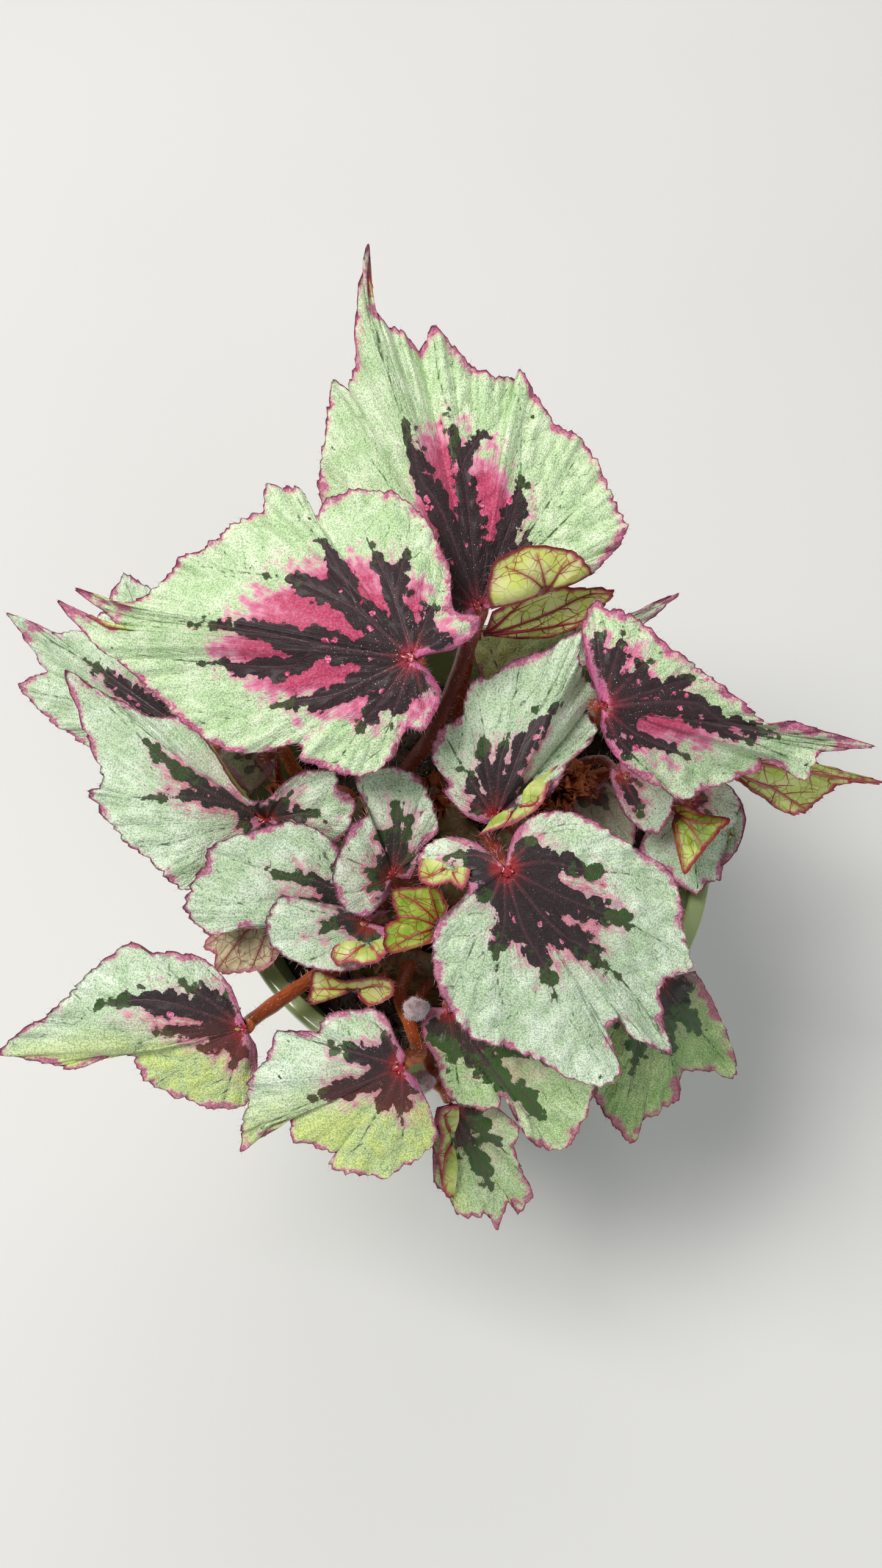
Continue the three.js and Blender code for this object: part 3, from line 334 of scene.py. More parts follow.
            (632, 1474, 168), (598, 1502, 169), (562, 1487, 172), (546, 1450, 176), (548, 1412, 178),
            (560, 1385, 180), (575, 1350, 181), (602, 1335, 181), (592, 1308, 178), (583, 1268, 180),
            (635, 1256, 181), (682, 1270, 181), (698, 1296, 179), (713, 1330, 178), (717, 1362, 176),
            (692, 1388, 174), (682, 1415, 172), (672, 1440, 170),
        ],
        "veins": [
            (0.8, 2.8, [(646, 1380), (650, 1320), (640, 1262)]),
            (0.7, 2.6, [(662, 1370), (685, 1310), (696, 1290)]), (0.5, 2.4, [(675, 1400), (714, 1350)]),
            (0.62, 2.6, [(622, 1380), (605, 1330), (592, 1285)]), (0.5, 2.4, [(600, 1420), (552, 1402)]),
            (0.5, 2.4, [(605, 1452), (556, 1468)]),
        ],
        "root": (-14, -12), "stalkRadius": (1.7, 2.1), "stalk": [(655, 1450, 152)],
    },
    "centre_left": {
        "look": "jade", "arch": 0.05, "ruffle": 0.5, "junction": (588, 1493, 162),
        "margin": [
            (562, 1514, 160), (500, 1525, 160), (450, 1522, 161), (395, 1520, 162), (345, 1531, 162),
            (318, 1512, 163), (303, 1484, 165), (318, 1440, 168), (338, 1412, 170), (345, 1386, 171),
            (430, 1356, 174), (480, 1346, 175), (528, 1364, 174), (560, 1396, 171), (590, 1435, 166),
            (604, 1468, 163),
        ],
        "veins": [
            (0.68, 3, [(540, 1455), (480, 1440), (430, 1420), (345, 1400)]),
            (0.6, 3, [(565, 1450), (532, 1400), (500, 1352)]),
            (0.5, 2.6, [(530, 1485), (460, 1475), (395, 1480), (315, 1488)]),
            (0.5, 2.4, [(582, 1450), (560, 1400)]),
        ],
        "root": (-27, -19), "stalkRadius": (1.7, 2.1), "stalk": [(596, 1505, 148)],
    },
    "centre_low": {
        "look": "jade", "arch": 0.04, "ruffle": 0.5, "junction": (604, 1512, 165),
        "margin": [
            (645, 1524, 166), (634, 1562, 167), (600, 1584, 166), (545, 1592, 166), (490, 1580, 165),
            (448, 1552, 166), (436, 1525, 168), (438, 1502, 169), (455, 1472, 171), (480, 1470, 170),
            (530, 1480, 167), (575, 1486, 165), (640, 1492, 164),
        ],
        "veins": [
            (0.6, 3, [(570, 1505), (535, 1525), (500, 1535), (442, 1530)]),
            (0.4, 2.6, [(570, 1545), (500, 1575)]), (0.5, 2.4, [(600, 1545), (598, 1580)]),
            (0.3, 2.4, [(560, 1500), (500, 1490), (468, 1478)]),
        ],
        "root": (-21, -26), "stalkRadius": (1.5, 1.9), "stalk": [(628, 1520, 150)],
    },
    "centre_turned": {
        "look": "greenUnder", "arch": -0.06, "ruffle": 0.3, "junction": (722, 1518, 172),
        "margin": [
            (735, 1485, 174), (716, 1450, 176), (690, 1452, 177), (645, 1457, 177), (643, 1480, 175),
            (650, 1503, 173), (630, 1520, 175), (636, 1562, 173), (708, 1545, 172),
        ],
        "plainVeins": [
            [(690, 1507), (655, 1502), (640, 1515)], [(700, 1490), (665, 1468), (650, 1462)],
            [(712, 1490), (706, 1456)], [(690, 1530), (645, 1552)],
        ],
        "root": (3, -36), "stalkRadius": (1.3, 1.8), "stalkFromEdge": True,
        "stalk": [(752, 1535, 160), (762, 1560, 140)],
    },
    "left_turned": {
        "look": "dullUnder", "arch": -0.05, "ruffle": 0.3, "junction": (452, 1495, 154),
        "margin": [
            (430, 1475, 155), (385, 1500, 153), (350, 1525, 150), (333, 1551, 148), (350, 1562, 148),
            (356, 1594, 147), (400, 1593, 148), (440, 1585, 149), (470, 1540, 151),
        ],
        "plainVeins": [
            [(420, 1515), (385, 1550), (356, 1590)], [(415, 1505), (370, 1525), (340, 1548)],
            [(435, 1530), (415, 1588)], [(450, 1530), (445, 1575)],
        ],
        "root": (-41, -26), "stalkRadius": (1.3, 1.7), "stalkFromEdge": True, "stalk": [(500, 1515, 143)],
    },
    "front_right": {
        "look": "silver", "arch": 0.06, "ruffle": 0.6, "junction": (827, 1422, 190),
        "margin": [
            (832, 1395, 190), (846, 1360, 190), (872, 1338, 190), (912, 1328, 190), (955, 1337, 189),
            (1000, 1363, 188), (1050, 1396, 185), (1092, 1422, 182), (1110, 1450, 180), (1117, 1500, 177),
            (1124, 1548, 174), (1136, 1585, 171), (1100, 1598, 171), (1082, 1622, 169), (1088, 1680, 165),
            (1101, 1728, 160), (1065, 1712, 164), (1030, 1695, 166), (1012, 1668, 169), (996, 1692, 167),
            (1018, 1755, 162), (978, 1778, 161), (930, 1765, 162), (880, 1735, 163), (825, 1716, 165),
            (772, 1700, 167), (742, 1662, 171), (716, 1615, 175), (708, 1560, 180), (716, 1510, 185),
            (752, 1478, 189), (768, 1453, 190), (738, 1446, 186), (700, 1432, 183), (684, 1412, 183),
            (690, 1392, 183), (712, 1377, 184), (742, 1371, 185), (775, 1378, 186), (800, 1396, 188),
        ],
        "veins": [
            (0.58, 4.4, [(890, 1412), (955, 1425), (1030, 1430), (1105, 1450)]),
            (0.42, 3.6, [(865, 1385), (900, 1360), (950, 1340)]),
            (0.72, 4.4, [(895, 1455), (970, 1490), (1045, 1523), (1128, 1570)]),
            (0.66, 4.4, [(880, 1490), (940, 1545), (1005, 1592), (1060, 1655), (1092, 1715)]),
            (0.6, 4, [(855, 1510), (885, 1570), (910, 1635), (955, 1700), (1005, 1762)]),
            (0.52, 3.6, [(828, 1500), (815, 1560), (812, 1610), (830, 1670), (850, 1722)]),
            (0.25, 2.6, [(795, 1500), (765, 1570), (738, 1650)]),
            (0.75, 3.2, [(790, 1405), (755, 1402), (700, 1405)]),
        ],
        "root": (4, -7), "stalkRadius": (2.1, 2.6), "stalk": [(812, 1392, 176), (798, 1374, 150)],
    },
    "lower_left": {
        "look": "silver", "arch": 0.05, "ruffle": 0.6, "junction": (403, 1684, 158),
        "warm": [(300, 1662), (306, 1722)],
        "margin": [
            (420, 1712, 154), (422, 1760, 149), (400, 1812, 144), (352, 1815, 143), (300, 1800, 144),
            (250, 1778, 146), (222, 1742, 149), (212, 1730, 150), (172, 1732, 150), (115, 1752, 148),
            (70, 1738, 147), (0, 1725, 147), (45, 1680, 153), (66, 1672, 155), (110, 1632, 159),
            (150, 1590, 162), (212, 1545, 164), (250, 1560, 164), (300, 1560, 163), (345, 1578, 162),
            (375, 1612, 161), (392, 1650, 160),
        ],
        "veins": [
            (0.66, 3.6, [(340, 1660), (260, 1640), (170, 1650), (90, 1690), (20, 1715)]),
            (0.6, 3.4, [(345, 1640), (280, 1600), (215, 1558)]), (0.66, 3.2, [(375, 1630), (340, 1588)]),
            (0.5, 3.2, [(350, 1710), (300, 1745), (255, 1775)]), (0.55, 3.2, [(388, 1730), (365, 1800)]),
        ],
        "forks": [(0.4, 2.4, [(340, 1685), (240, 1722), (190, 1728)])],
        "root": (-34, -33), "stalkRadius": (2, 2.5),
        "stalk": [(445, 1648, 149), (512, 1603, 143), (565, 1580, 130)],
    },
    "lower_front": {
        "look": "silver", "arch": 0.05, "ruffle": 0.6, "junction": (660, 1745, 164),
        "warm": [(560, 1755), (575, 1835)],
        "margin": [
            (682, 1768, 162), (700, 1805, 158), (718, 1862, 151), (680, 1900, 147), (625, 1930, 144),
            (580, 1920, 144), (539, 1909, 143), (551, 1888, 145), (515, 1878, 145), (478, 1862, 145),
            (474, 1834, 148), (440, 1856, 144), (399, 1882, 140), (396, 1850, 144), (405, 1810, 149),
            (408, 1770, 154), (438, 1732, 159), (455, 1689, 162), (500, 1688, 164), (520, 1694, 164),
            (528, 1670, 167), (548, 1658, 168), (605, 1652, 169), (635, 1668, 169), (648, 1700, 168),
            (664, 1728, 166),
        ],
        "veins": [
            (0.62, 3.4, [(600, 1730), (545, 1715), (470, 1700)]),
            (0.62, 3.6, [(610, 1765), (545, 1790), (480, 1820), (410, 1860)]),
            (0.55, 3, [(635, 1790), (600, 1850), (570, 1905)]),
            (0.5, 2.8, [(660, 1800), (660, 1860), (640, 1918)]),
            (0.75, 3, [(640, 1705), (615, 1680), (600, 1660)]),
        ],
        "root": (-18, -40), "stalkRadius": (1.8, 2.3),
        "stalk": [(688, 1727, 152), (668, 1668, 142), (655, 1630, 133)],
    },
    "under_front": {
        "look": "mixed", "arch": 0.05, "ruffle": 0.6, "junction": (735, 1650, 154),
        "margin": [
            (760, 1628, 155), (800, 1625, 156), (880, 1650, 155), (950, 1710, 152), (974, 1775, 147),
            (960, 1825, 142), (938, 1868, 138), (906, 1886, 135), (875, 1874, 137), (855, 1850, 139),
            (838, 1820, 142), (826, 1794, 144), (815, 1812, 142), (780, 1817, 143), (742, 1803, 145),
            (722, 1775, 147), (716, 1742, 149), (695, 1705, 151), (691, 1672, 153), (706, 1650, 154),
        ],
        "veins": [
            (0.9, 4.6, [(780, 1720), (850, 1785), (892, 1850), (905, 1878)]),
            (0.8, 4.2, [(800, 1690), (880, 1720), (960, 1775)]),
            (0.75, 3.6, [(740, 1700), (748, 1760), (760, 1805)]), (0.5, 3, [(830, 1650), (920, 1700)]),
        ],
        "root": (7, -41), "stalkRadius": (1.6, 2), "stalk": [(745, 1635, 140)],
    },
    "hanging": {
        "look": "mixed", "arch": 0.05, "ruffle": 0.5, "junction": (738, 1808, 136),
        "warm": [(770, 1900), (735, 1905)],
        "margin": [
            (800, 1805, 136), (850, 1845, 132), (843, 1878, 129), (855, 1918, 124), (873, 1955, 119),
            (850, 1989, 114), (835, 1970, 117), (813, 2012, 112), (797, 1990, 115), (750, 1990, 116),
            (735, 1957, 121), (712, 1940, 124), (709, 1895, 128), (708, 1850, 133), (716, 1814, 137),
        ],
        "veins": [
            (0.8, 3.8, [(770, 1880), (800, 1935), (813, 1995)]), (0.65, 3.4, [(790, 1850), (855, 1915)]),
            (0.6, 2.6, [(745, 1870), (745, 1945)]),
        ],
        "root": (-1, -50), "stalkRadius": (1.6, 2), "stalkFromEdge": True,
        "stalk": [(715, 1775, 138), (700, 1738, 142), (692, 1690, 140)],
    },
    "lower_right": {
        "look": "green", "arch": 0.05, "ruffle": 0.6, "junction": (1075, 1602, 152),
        "margin": [
            (1138, 1590, 150), (1154, 1615, 148), (1172, 1650, 143), (1196, 1705, 135), (1206, 1764, 124),
            (1150, 1752, 130), (1116, 1762, 131), (1111, 1800, 126), (1082, 1820, 125), (1058, 1832, 124),
            (1034, 1874, 118), (1012, 1850, 121), (992, 1826, 124), (975, 1800, 128), (962, 1740, 135),
            (1000, 1670, 144), (1040, 1615, 150),
        ],
        "veins": [
            (0.7, 4.6, [(1090, 1680), (1110, 1795)]), (0.65, 4, [(1050, 1690), (1030, 1780), (1020, 1840)]),
            (0.6, 4, [(1130, 1670), (1195, 1745)]), (0.55, 3, [(1035, 1650), (985, 1775)]),
        ],
        "root": (27, -28), "stalkRadius": (1.8, 2.2), "stalk": [(1020, 1590, 142)],
    },
    "front_small": {
        "look": "creamLitUnder", "arch": 0.04, "ruffle": 0.4, "junction": (580, 1622, 152),
        "margin": [
            (545, 1636, 151), (506, 1646, 151), (508, 1615, 153), (517, 1588, 155), (560, 1606, 155),
            (612, 1600, 158), (645, 1607, 157), (640, 1635, 154), (604, 1650, 151),
        ],
        "plainVeins": [[(550, 1620), (512, 1620)], [(600, 1620), (640, 1618)], [(590, 1640), (620, 1645)]],
        "root": (-25, -43), "stalkRadius": (1.1, 1.5), "stalk": [(600, 1640, 138)],
    },
}

# Edges that roll over the leaf of the same name and show their underside, each built as a small
# leaf is. Heights are over that leaf, in mm.
rolledEdges = {
    "mid_right": {
        "look": "under", "arch": 0.12, "ruffle": 0.5, "junction": (848, 1322, 1),
        "margin": [
            (781, 1372, 0.4), (800, 1366, 2.2), (822, 1357, 3), (850, 1346, 3.2), (876, 1330, 3),
            (893, 1308, 2.6), (902, 1284, 1.6), (914, 1254, 0.4),
        ],
        "plainVeins": [[(835, 1340), (825, 1352)], [(870, 1322), (885, 1310)]],
    },
    "front_right": {
        "look": "under", "arch": 0.06, "ruffle": 0.5, "junction": (742, 1420, 1.2),
        "margin": [
            (692, 1408, 0.5), (684, 1424, 1.6), (690, 1446, 2.4), (712, 1452, 2.8), (738, 1446, 3),
            (757, 1458, 2.6), (768, 1440, 1.6), (772, 1424, 0.6),
        ],
        "plainVeins": [[(715, 1432), (695, 1440)], [(745, 1435), (752, 1448)]],
    },
    "centre_low": {
        "look": "under", "arch": 0.1, "ruffle": 0.9, "junction": (604, 1546, 1),
        "margin": [
            (553, 1549, 0.4), (541, 1562, 1.6), (552, 1582, 2.6), (572, 1578, 3), (596, 1583, 3.2),
            (618, 1576, 3), (634, 1562, 2.2), (642, 1540, 0.6),
        ],
        "plainVeins": [[(580, 1562), (556, 1572)], [(615, 1560), (622, 1568)]],
    },
    "hanging": {
        "look": "under", "arch": 0.08, "ruffle": 0.5, "junction": (742, 1862, 1.2),
        "margin": [
            (752, 1812, 0.4), (728, 1812, 1.6), (716, 1834, 2.4), (722, 1862, 2.8), (717, 1896, 2.8),
            (722, 1930, 2.2), (730, 1958, 1.2), (742, 1960, 0.4),
        ],
        "plainVeins": [[(730, 1895), (727, 1930)], [(732, 1845), (728, 1826)]],
    },
    "right_silver": {
        "look": "under", "arch": 0.08, "ruffle": 0.4, "junction": (1196, 1366, 1),
        "margin": [
            (1216, 1318, 0.3), (1222, 1340, 1.6), (1218, 1366, 2.2), (1208, 1392, 2.4), (1192, 1412, 1.6),
            (1180, 1420, 0.4),
        ],
        "plainVeins": [[(1205, 1372), (1202, 1398)]],
    },
}

# How the fine blades are made. Lengths in mm.
bladeShape = {
    "halfThickness": 0.3, "marginStep": 1.0, "ringStep": 1.5,
    "leanEarliest": 0.55, "leanLatest": 0.88, "leanWidth": 0.06,
    "leastTurn": 0.01, "roomShare": 0.25,
    "toothLength": 4.2, "toothHeight": 0.9, "smallTooth": 1.9, "fullToothReach": 30,
    "ruffleLength": 11.0, "smallRuffle": 3.7, "ruffleHeight": 1.6,
    "puckerHeight": 1.3, "puckerWidth": 2.4,
    "sideVeinStep": 6.5, "sideVeinLength": 13.0, "sideVeinAngle": 48,
    "starWidening": 1.08, "starDisc": 2.3,
    "blushReach": 0.93,
    "blushDisc": 17,        # round the junction, all pink
    "foldAway": 30,         # from a rolled edge to the junction, for its colours
    "farOutside": -30,      # the fields of star and blush where there is none
    "fibreTurns": 120,
}
farAway = [1000, 1000, 1000]


def unit(vectors):
    return vectors / np.maximum(np.linalg.norm(vectors, axis=-1, keepdims=True), 1e-9)


def turned(vectors, axis, angles):
    angles = np.asarray(angles)[:, None]
    along = (vectors @ axis)[:, None] * axis
    return along + (vectors - along) * np.cos(angles) + np.cross(axis, vectors) * np.sin(angles)


# How far along a row of places each one lies.
def lengthAlong(places):
    return np.r_[0, np.cumsum(np.linalg.norm(np.diff(places, axis=0), axis=1))]


# A row again, in a number of even steps of its length.
def evenSteps(row, along, count):
    wanted = np.linspace(0, along[-1], count)
    return np.stack([np.interp(wanted, along, column) for column in row.T], -1)


# The ways from a leaf's junction to its margin, and the way its face looks.
def spread(leaf):
    junction = placed(leaf["junction"])[0]
    outs = placed(leaf["margin"]) - junction
    return junction, outs, unit(np.cross(outs[1:], outs[:-1]).sum(0))


# How far each ray turns so that the rays leave the junction in even order, as in the source.
def evenTurns(outs, facing):
    count = len(outs)
    middle = count // 2
    zero = unit(outs[middle] - (outs[middle] @ facing) * facing)
    side = np.cross(facing, zero)
    raw = np.arctan2(-(outs @ side), outs @ zero)
    for i in range(middle + 1, count):
        if raw[i] < raw[i - 1] - math.pi:
            raw[i] += 2 * math.pi
    for i in range(middle - 1, -1, -1):
        if raw[i] > raw[i + 1] + math.pi:
            raw[i] -= 2 * math.pi
    settled = {}
    for i in np.argsort(np.linalg.norm(outs, axis=1), kind="stable"):
        leasts = [other + bladeShape["leastTurn"] * (i - j) for j, other in settled.items() if j < i]
        mosts = [other - bladeShape["leastTurn"] * (j - i) for j, other in settled.items() if j > i]
        least, most = max(leasts, default=-math.inf), min(mosts, default=math.inf)
        room = min((most - least) * bladeShape["roomShare"], bladeShape["leastTurn"])
        settled[i] = min(max(raw[i], least + room), most - room)
    return np.array([raw[i] - settled[i] for i in range(count)])


# Places on the rays of a leaf, at shares of the way out to the margin: rays x shares x 3.
def raysAt(leaf, shares):
    junction, outs, facing = spread(leaf)
    reach = np.linalg.norm(outs, axis=1)
    near = np.minimum(np.r_[reach[0], reach[:-1]], np.r_[reach[1:], reach[-1]])
    corner = np.clip(near / reach, bladeShape["leanEarliest"], bladeShape["leanLatest"])[:, None]
    inner = turned(outs, facing, evenTurns(outs, facing)) * corner
    width = bladeShape["leanWidth"]
    past = shares[None, :] - corner
    outer = np.where(past >= width, past, (np.maximum(past, -width) + width) ** 2 / (4 * width))
    straight = (shares[None, :] - outer) / corner
    places = inner[:, None] * straight[..., None]
    places = places + (outs - inner)[:, None] * (outer / (1 - corner))[..., None]
    inside = np.minimum(1, shares[None, :] / corner)
    lift = reach[:, None] * leaf["arch"] * 4 * inside * (1 - inside)
    return junction + places + lift[..., None] * facing, facing


# A smooth row through the rays, with a number of steps from each ray to the next.
def smoothRow(rows, steps):
    count = len(rows)
    u = np.arange((count - 1) * steps + 1) / steps
    i = np.minimum(u.astype(int), count - 2)
    t = (u - i).reshape(-1, *[1] * (rows.ndim - 1))
    before, a = rows[np.maximum(i - 1, 0)], rows[i]
    b, after = rows[i + 1], rows[np.minimum(i + 2, count - 1)]
    ease = 0.4
    out = a * (2 * t**3 - 3 * t**2 + 1) + b * (3 * t**2 - 2 * t**3)
    return out + ease * ((b - before) * (t**3 - 2 * t**2 + t) + (after - a) * (t**3 - t**2))


# Values of a grid along a route between its points: u along the margin, s outward.
def onGrid(grid, route):
    top = np.array(grid.shape[:2]) - 1.001
    u, s = np.clip(route, 0, top).T
    i, j = u.astype(int), s.astype(int)
    extra = [1] * (grid.ndim - 2)
    fu, fs = (u - i).reshape(-1, *extra), (s - j).reshape(-1, *extra)
    low = grid[i, j] * (1 - fu) + grid[i + 1, j] * fu
    high = grid[i, j + 1] * (1 - fu) + grid[i + 1, j + 1] * fu
    return low * (1 - fs) + high * fs


def gridNormals(grid, facing):
    normals = np.cross(np.gradient(grid, axis=1), np.gradient(grid, axis=0))
    normals[:, 0] = facing
    normals[:, 1] = normals[:, 1] * 0.2 + facing * np.linalg.norm(normals[:, 1], axis=-1, keepdims=True)
    flip = np.sign((normals * facing).sum(-1, keepdims=True).sum((0, 1)))
    return unit(normals * flip)


# A wave with uneven steps, from -1 to 1, at lengths along a margin.
def unevenWave(arc, length, phase):
    x = arc * 2 * math.pi / length
    return np.sin(x + 0.9 * np.sin(x * 0.37 + phase) + phase)


# Distance from each place of a grid to the nearest of some points.
def nearest(grid, points):
    rows = [np.sqrt(((row[:, None] - points[None]) ** 2).sum(-1).min(1)) for row in grid]
    return np.array(rows)


# A vein from its points in the view, as u and s on the grid, in steps of about 1 mm.
def traceVein(grid, pixels, points, fromJunction):
    steps = []
    for point in points:
        away = ((pixels - np.array(point)) ** 2).sum(-1)
        away[:, 0] = np.inf
        steps.append(np.unravel_index(away.argmin(), away.shape))
    steps = np.array(steps, float)
    if fromJunction:
        steps = np.vstack([[steps[0, 0], 0], steps])
    route = smoothRow(steps, 12)
    along = lengthAlong(onGrid(grid, route))
    return evenSteps(route, along, max(int(along[-1]), 3))


# Side veins leave a main vein in turn to the left and right and bend towards the margin.
def sideVeins(grid, main, others, seed):
    def spotAt(u, s):
        return onGrid(grid, np.array([[u, s]]))[0]

    found = []
    chance = np.random.default_rng(seed)
    along = lengthAlong(onGrid(grid, main))
    at = bladeShape["sideVeinStep"] * 0.8
    hand = 1
    while at < along[-1] - 2:
        u, s = main[min(int(np.searchsorted(along, at)), len(main) - 1)]
        route = [(u, s)]
        length = bladeShape["sideVeinLength"] * (0.5 + 0.7 * at / along[-1]) * chance.uniform(0.7, 1.1)
        for step in range(int(length)):
            angle = math.radians(bladeShape["sideVeinAngle"]) * (1 - 0.5 * step / length)
            here = spotAt(u, s)
            alongU = np.linalg.norm(spotAt(u + 0.5, s) - here) * 2
            alongS = np.linalg.norm(spotAt(u, s + 0.5) - here) * 2
            u += hand * math.sin(angle) / max(alongU, 0.15)
            s += math.cos(angle) / max(alongS, 0.3)
            if not (0 < u < grid.shape[0] - 1) or s > grid.shape[1] - 1.3:
                break
            if step > 2 and np.linalg.norm(others - spotAt(u, s), axis=1).min() < 1.0:
                break
            route.append((u, s))
        if len(route) > 3:
            found.append(np.array(route))
        hand = -hand
        at += bladeShape["sideVeinStep"] * chance.uniform(0.4, 0.65)
    return found


# A leaf's main veins, each with its share in the star and half width, and its side veins.
def findVeins(grid, leaf, seed):
    pixels = seen(grid)
    listed = leaf.get("veins", []) + [(0, 0, points) for points in leaf.get("plainVeins", [])]
    mains = [(traceVein(grid, pixels, points, True), share, width) for share, width, points in listed]
    for share, width, points in leaf.get("forks", []):
        mains.append((traceVein(grid, pixels, points, False), share, width))
    mainPlaces = np.vstack([onGrid(grid, vein) for vein, _, _ in mains])
    sides = []
    for k, (vein, _, _) in enumerate(mains):
        own = onGrid(grid, vein)
        apart = [p for p in mainPlaces if np.linalg.norm(own - p, axis=1).min() > 0.6]
        sides += sideVeins(grid, vein, np.array(apart or [farAway]), seed * 31 + k)
    return mains, mainPlaces, sides


# The teeth and waves of the margin.
def shapeMargin(grid, leaf, shares, facing, seed):
    edge = grid[:, -1]
    arc = lengthAlong(edge)
    outward = unit(edge - grid[:, -2])
    size = np.minimum(1, np.linalg.norm(edge - grid[0, 0], axis=1) / bladeShape["fullToothReach"])
    tooth = np.abs(unevenWave(arc, 2 * bladeShape["toothLength"], seed)) ** 0.7 - 0.6
    tooth = tooth + unevenWave(arc, bladeShape["smallTooth"], seed + 2) * 0.25
    grow = bladeShape["toothHeight"] * size * tooth
    ruffle = unevenWave(arc, bladeShape["ruffleLength"], seed + 1)
    ruffle = ruffle + 0.45 * unevenWave(arc, bladeShape["smallRuffle"], seed + 4)
    ruffle = ruffle * bladeShape["ruffleHeight"] * leaf["ruffle"] * size
    grid = grid + (outward * grow[:, None])[:, None] * (shares**10)[None, :, None]
    return grid + (ruffle[:, None] * shares[None] ** 5)[..., None] * facing, arc, outward


# How deep each place lies in the dark star along the main veins, how near its arm's tip that is,
# and how deep it lies in the blush between the arms.
def starFields(grid, mains, junctionDistance):
    shape = grid.shape[:2]
    star = np.full(shape, float(bladeShape["farOutside"]))
    blush = star.copy()
    tip = np.zeros(shape)
    arms = [(vein, share, width * bladeShape["starWidening"]) for vein, share, width in mains if share > 0]
    for vein, share, width in arms:
        run = np.linspace(0, 1, len(vein)) / share
        taper = width * np.clip(1 - run**2.4, 0, 1) ** 0.75
        widths = np.where(run <= 1, taper, bladeShape["farOutside"])
        room = widths - np.linalg.norm(grid[:, :, None] - onGrid(grid, vein)[None, None], axis=-1)
        best = room.argmax(-1)
        room = room.max(-1)
        tip = np.where(room > star, run[best], tip)
        star = np.maximum(star, room)
    if arms:
        disc = bladeShape["starDisc"] * max(width for _, _, width in arms)
        star = np.maximum(star, disc - junctionDistance)
        tips = np.array([vein[int((len(vein) - 1) * share)] for vein, share, _ in arms])
        tips = tips[np.argsort(tips[:, 0], kind="stable")]
        reaches = np.linalg.norm(onGrid(grid, tips) - grid[0, 0], axis=-1)
        along = np.r_[-1, tips[:, 0], shape[0]]
        reachHere = np.interp(np.arange(shape[0]), along, np.r_[reaches[0], reaches, reaches[-1]])
        blush = bladeShape["blushReach"] * reachHere[:, None] - junctionDistance
        blush = np.maximum(blush, bladeShape["blushDisc"] - junctionDistance)
    return star, tip, blush


# The fine sheet of a leaf or flap: its grid of places, normals, veins and the fields that the
# colours follow, all in mm.
def makeSheet(leaf, seed):
    _, outs, _ = spread(leaf)
    reach = np.linalg.norm(outs, axis=1)
    rim = np.linalg.norm(np.diff(outs, axis=0), axis=1).mean()
    rings = max(int(np.percentile(reach, 75) / bladeShape["ringStep"]), 8)
    steps = max(int(math.ceil(rim / bladeShape["marginStep"])), 2)
    shares = np.linspace(0, 1, rings + 1)
    rows, facing = raysAt(leaf, shares)
    grid = smoothRow(rows, steps)
    grid[:, 0] = grid[:, 0].mean(0)
    mains, mainPlaces, sides = findVeins(grid, leaf, seed)
    grid, arc, outward = shapeMargin(grid, leaf, shares, facing, seed)

    veinDistance = nearest(grid, np.vstack([mainPlaces] + [onGrid(grid, vein) for vein in sides]))
    rimPlaces = grid[:, -1]
    if "fold" not in leaf:
        rimPlaces = np.vstack([rimPlaces, grid[0, rings // 5:], grid[-1, rings // 5:]])
    marginDistance = nearest(grid, rimPlaces)
    junctionDistance = np.linalg.norm(grid - grid[0, 0], axis=-1)
    pucker = 1 - np.exp(-(veinDistance / bladeShape["puckerWidth"]) ** 2)
    calm = np.clip(marginDistance / 3, 0.25, 1) * np.clip(junctionDistance / 8, 0, 1)
    grid = grid + (bladeShape["puckerHeight"] * pucker * calm)[..., None] * facing

    star, tip, blush = starFields(grid, mains, junctionDistance)
    # warmth carries painted light: it grows along the leaf's warm line, where light shining through the
    # blade turns it yellow-green.
    warmth = np.zeros(grid.shape[:2])
    if "warm" in leaf:
        start, finish = (np.array(p, float) for p in leaf["warm"])
        warmth = np.clip(((seen(grid) - start) @ (finish - start)) / ((finish - start) ** 2).sum(), 0, 1)
    aroundMargin = (arc / arc[-1] * bladeShape["fibreTurns"])[:, None]
    return {
        "grid": grid,
        "normals": gridNormals(grid, facing),
        "facing": facing,
        "mains": mains,
        "sides": sides,
        "outward": outward,
        "fields": {
            "starField": star,
            "blushField": blush,
            "tipField": tip,
            "warmth": warmth,
            "veinDistance": veinDistance,
            "mainVeinDistance": nearest(grid, mainPlaces),
            "marginDistance": marginDistance,
            "junctionDistance": junctionDistance + (bladeShape["foldAway"] if "fold" in leaf else 0),
        },
        "fibres": np.stack(np.broadcast_arrays(aroundMargin, junctionDistance, seed * 7.3), -1),
    }


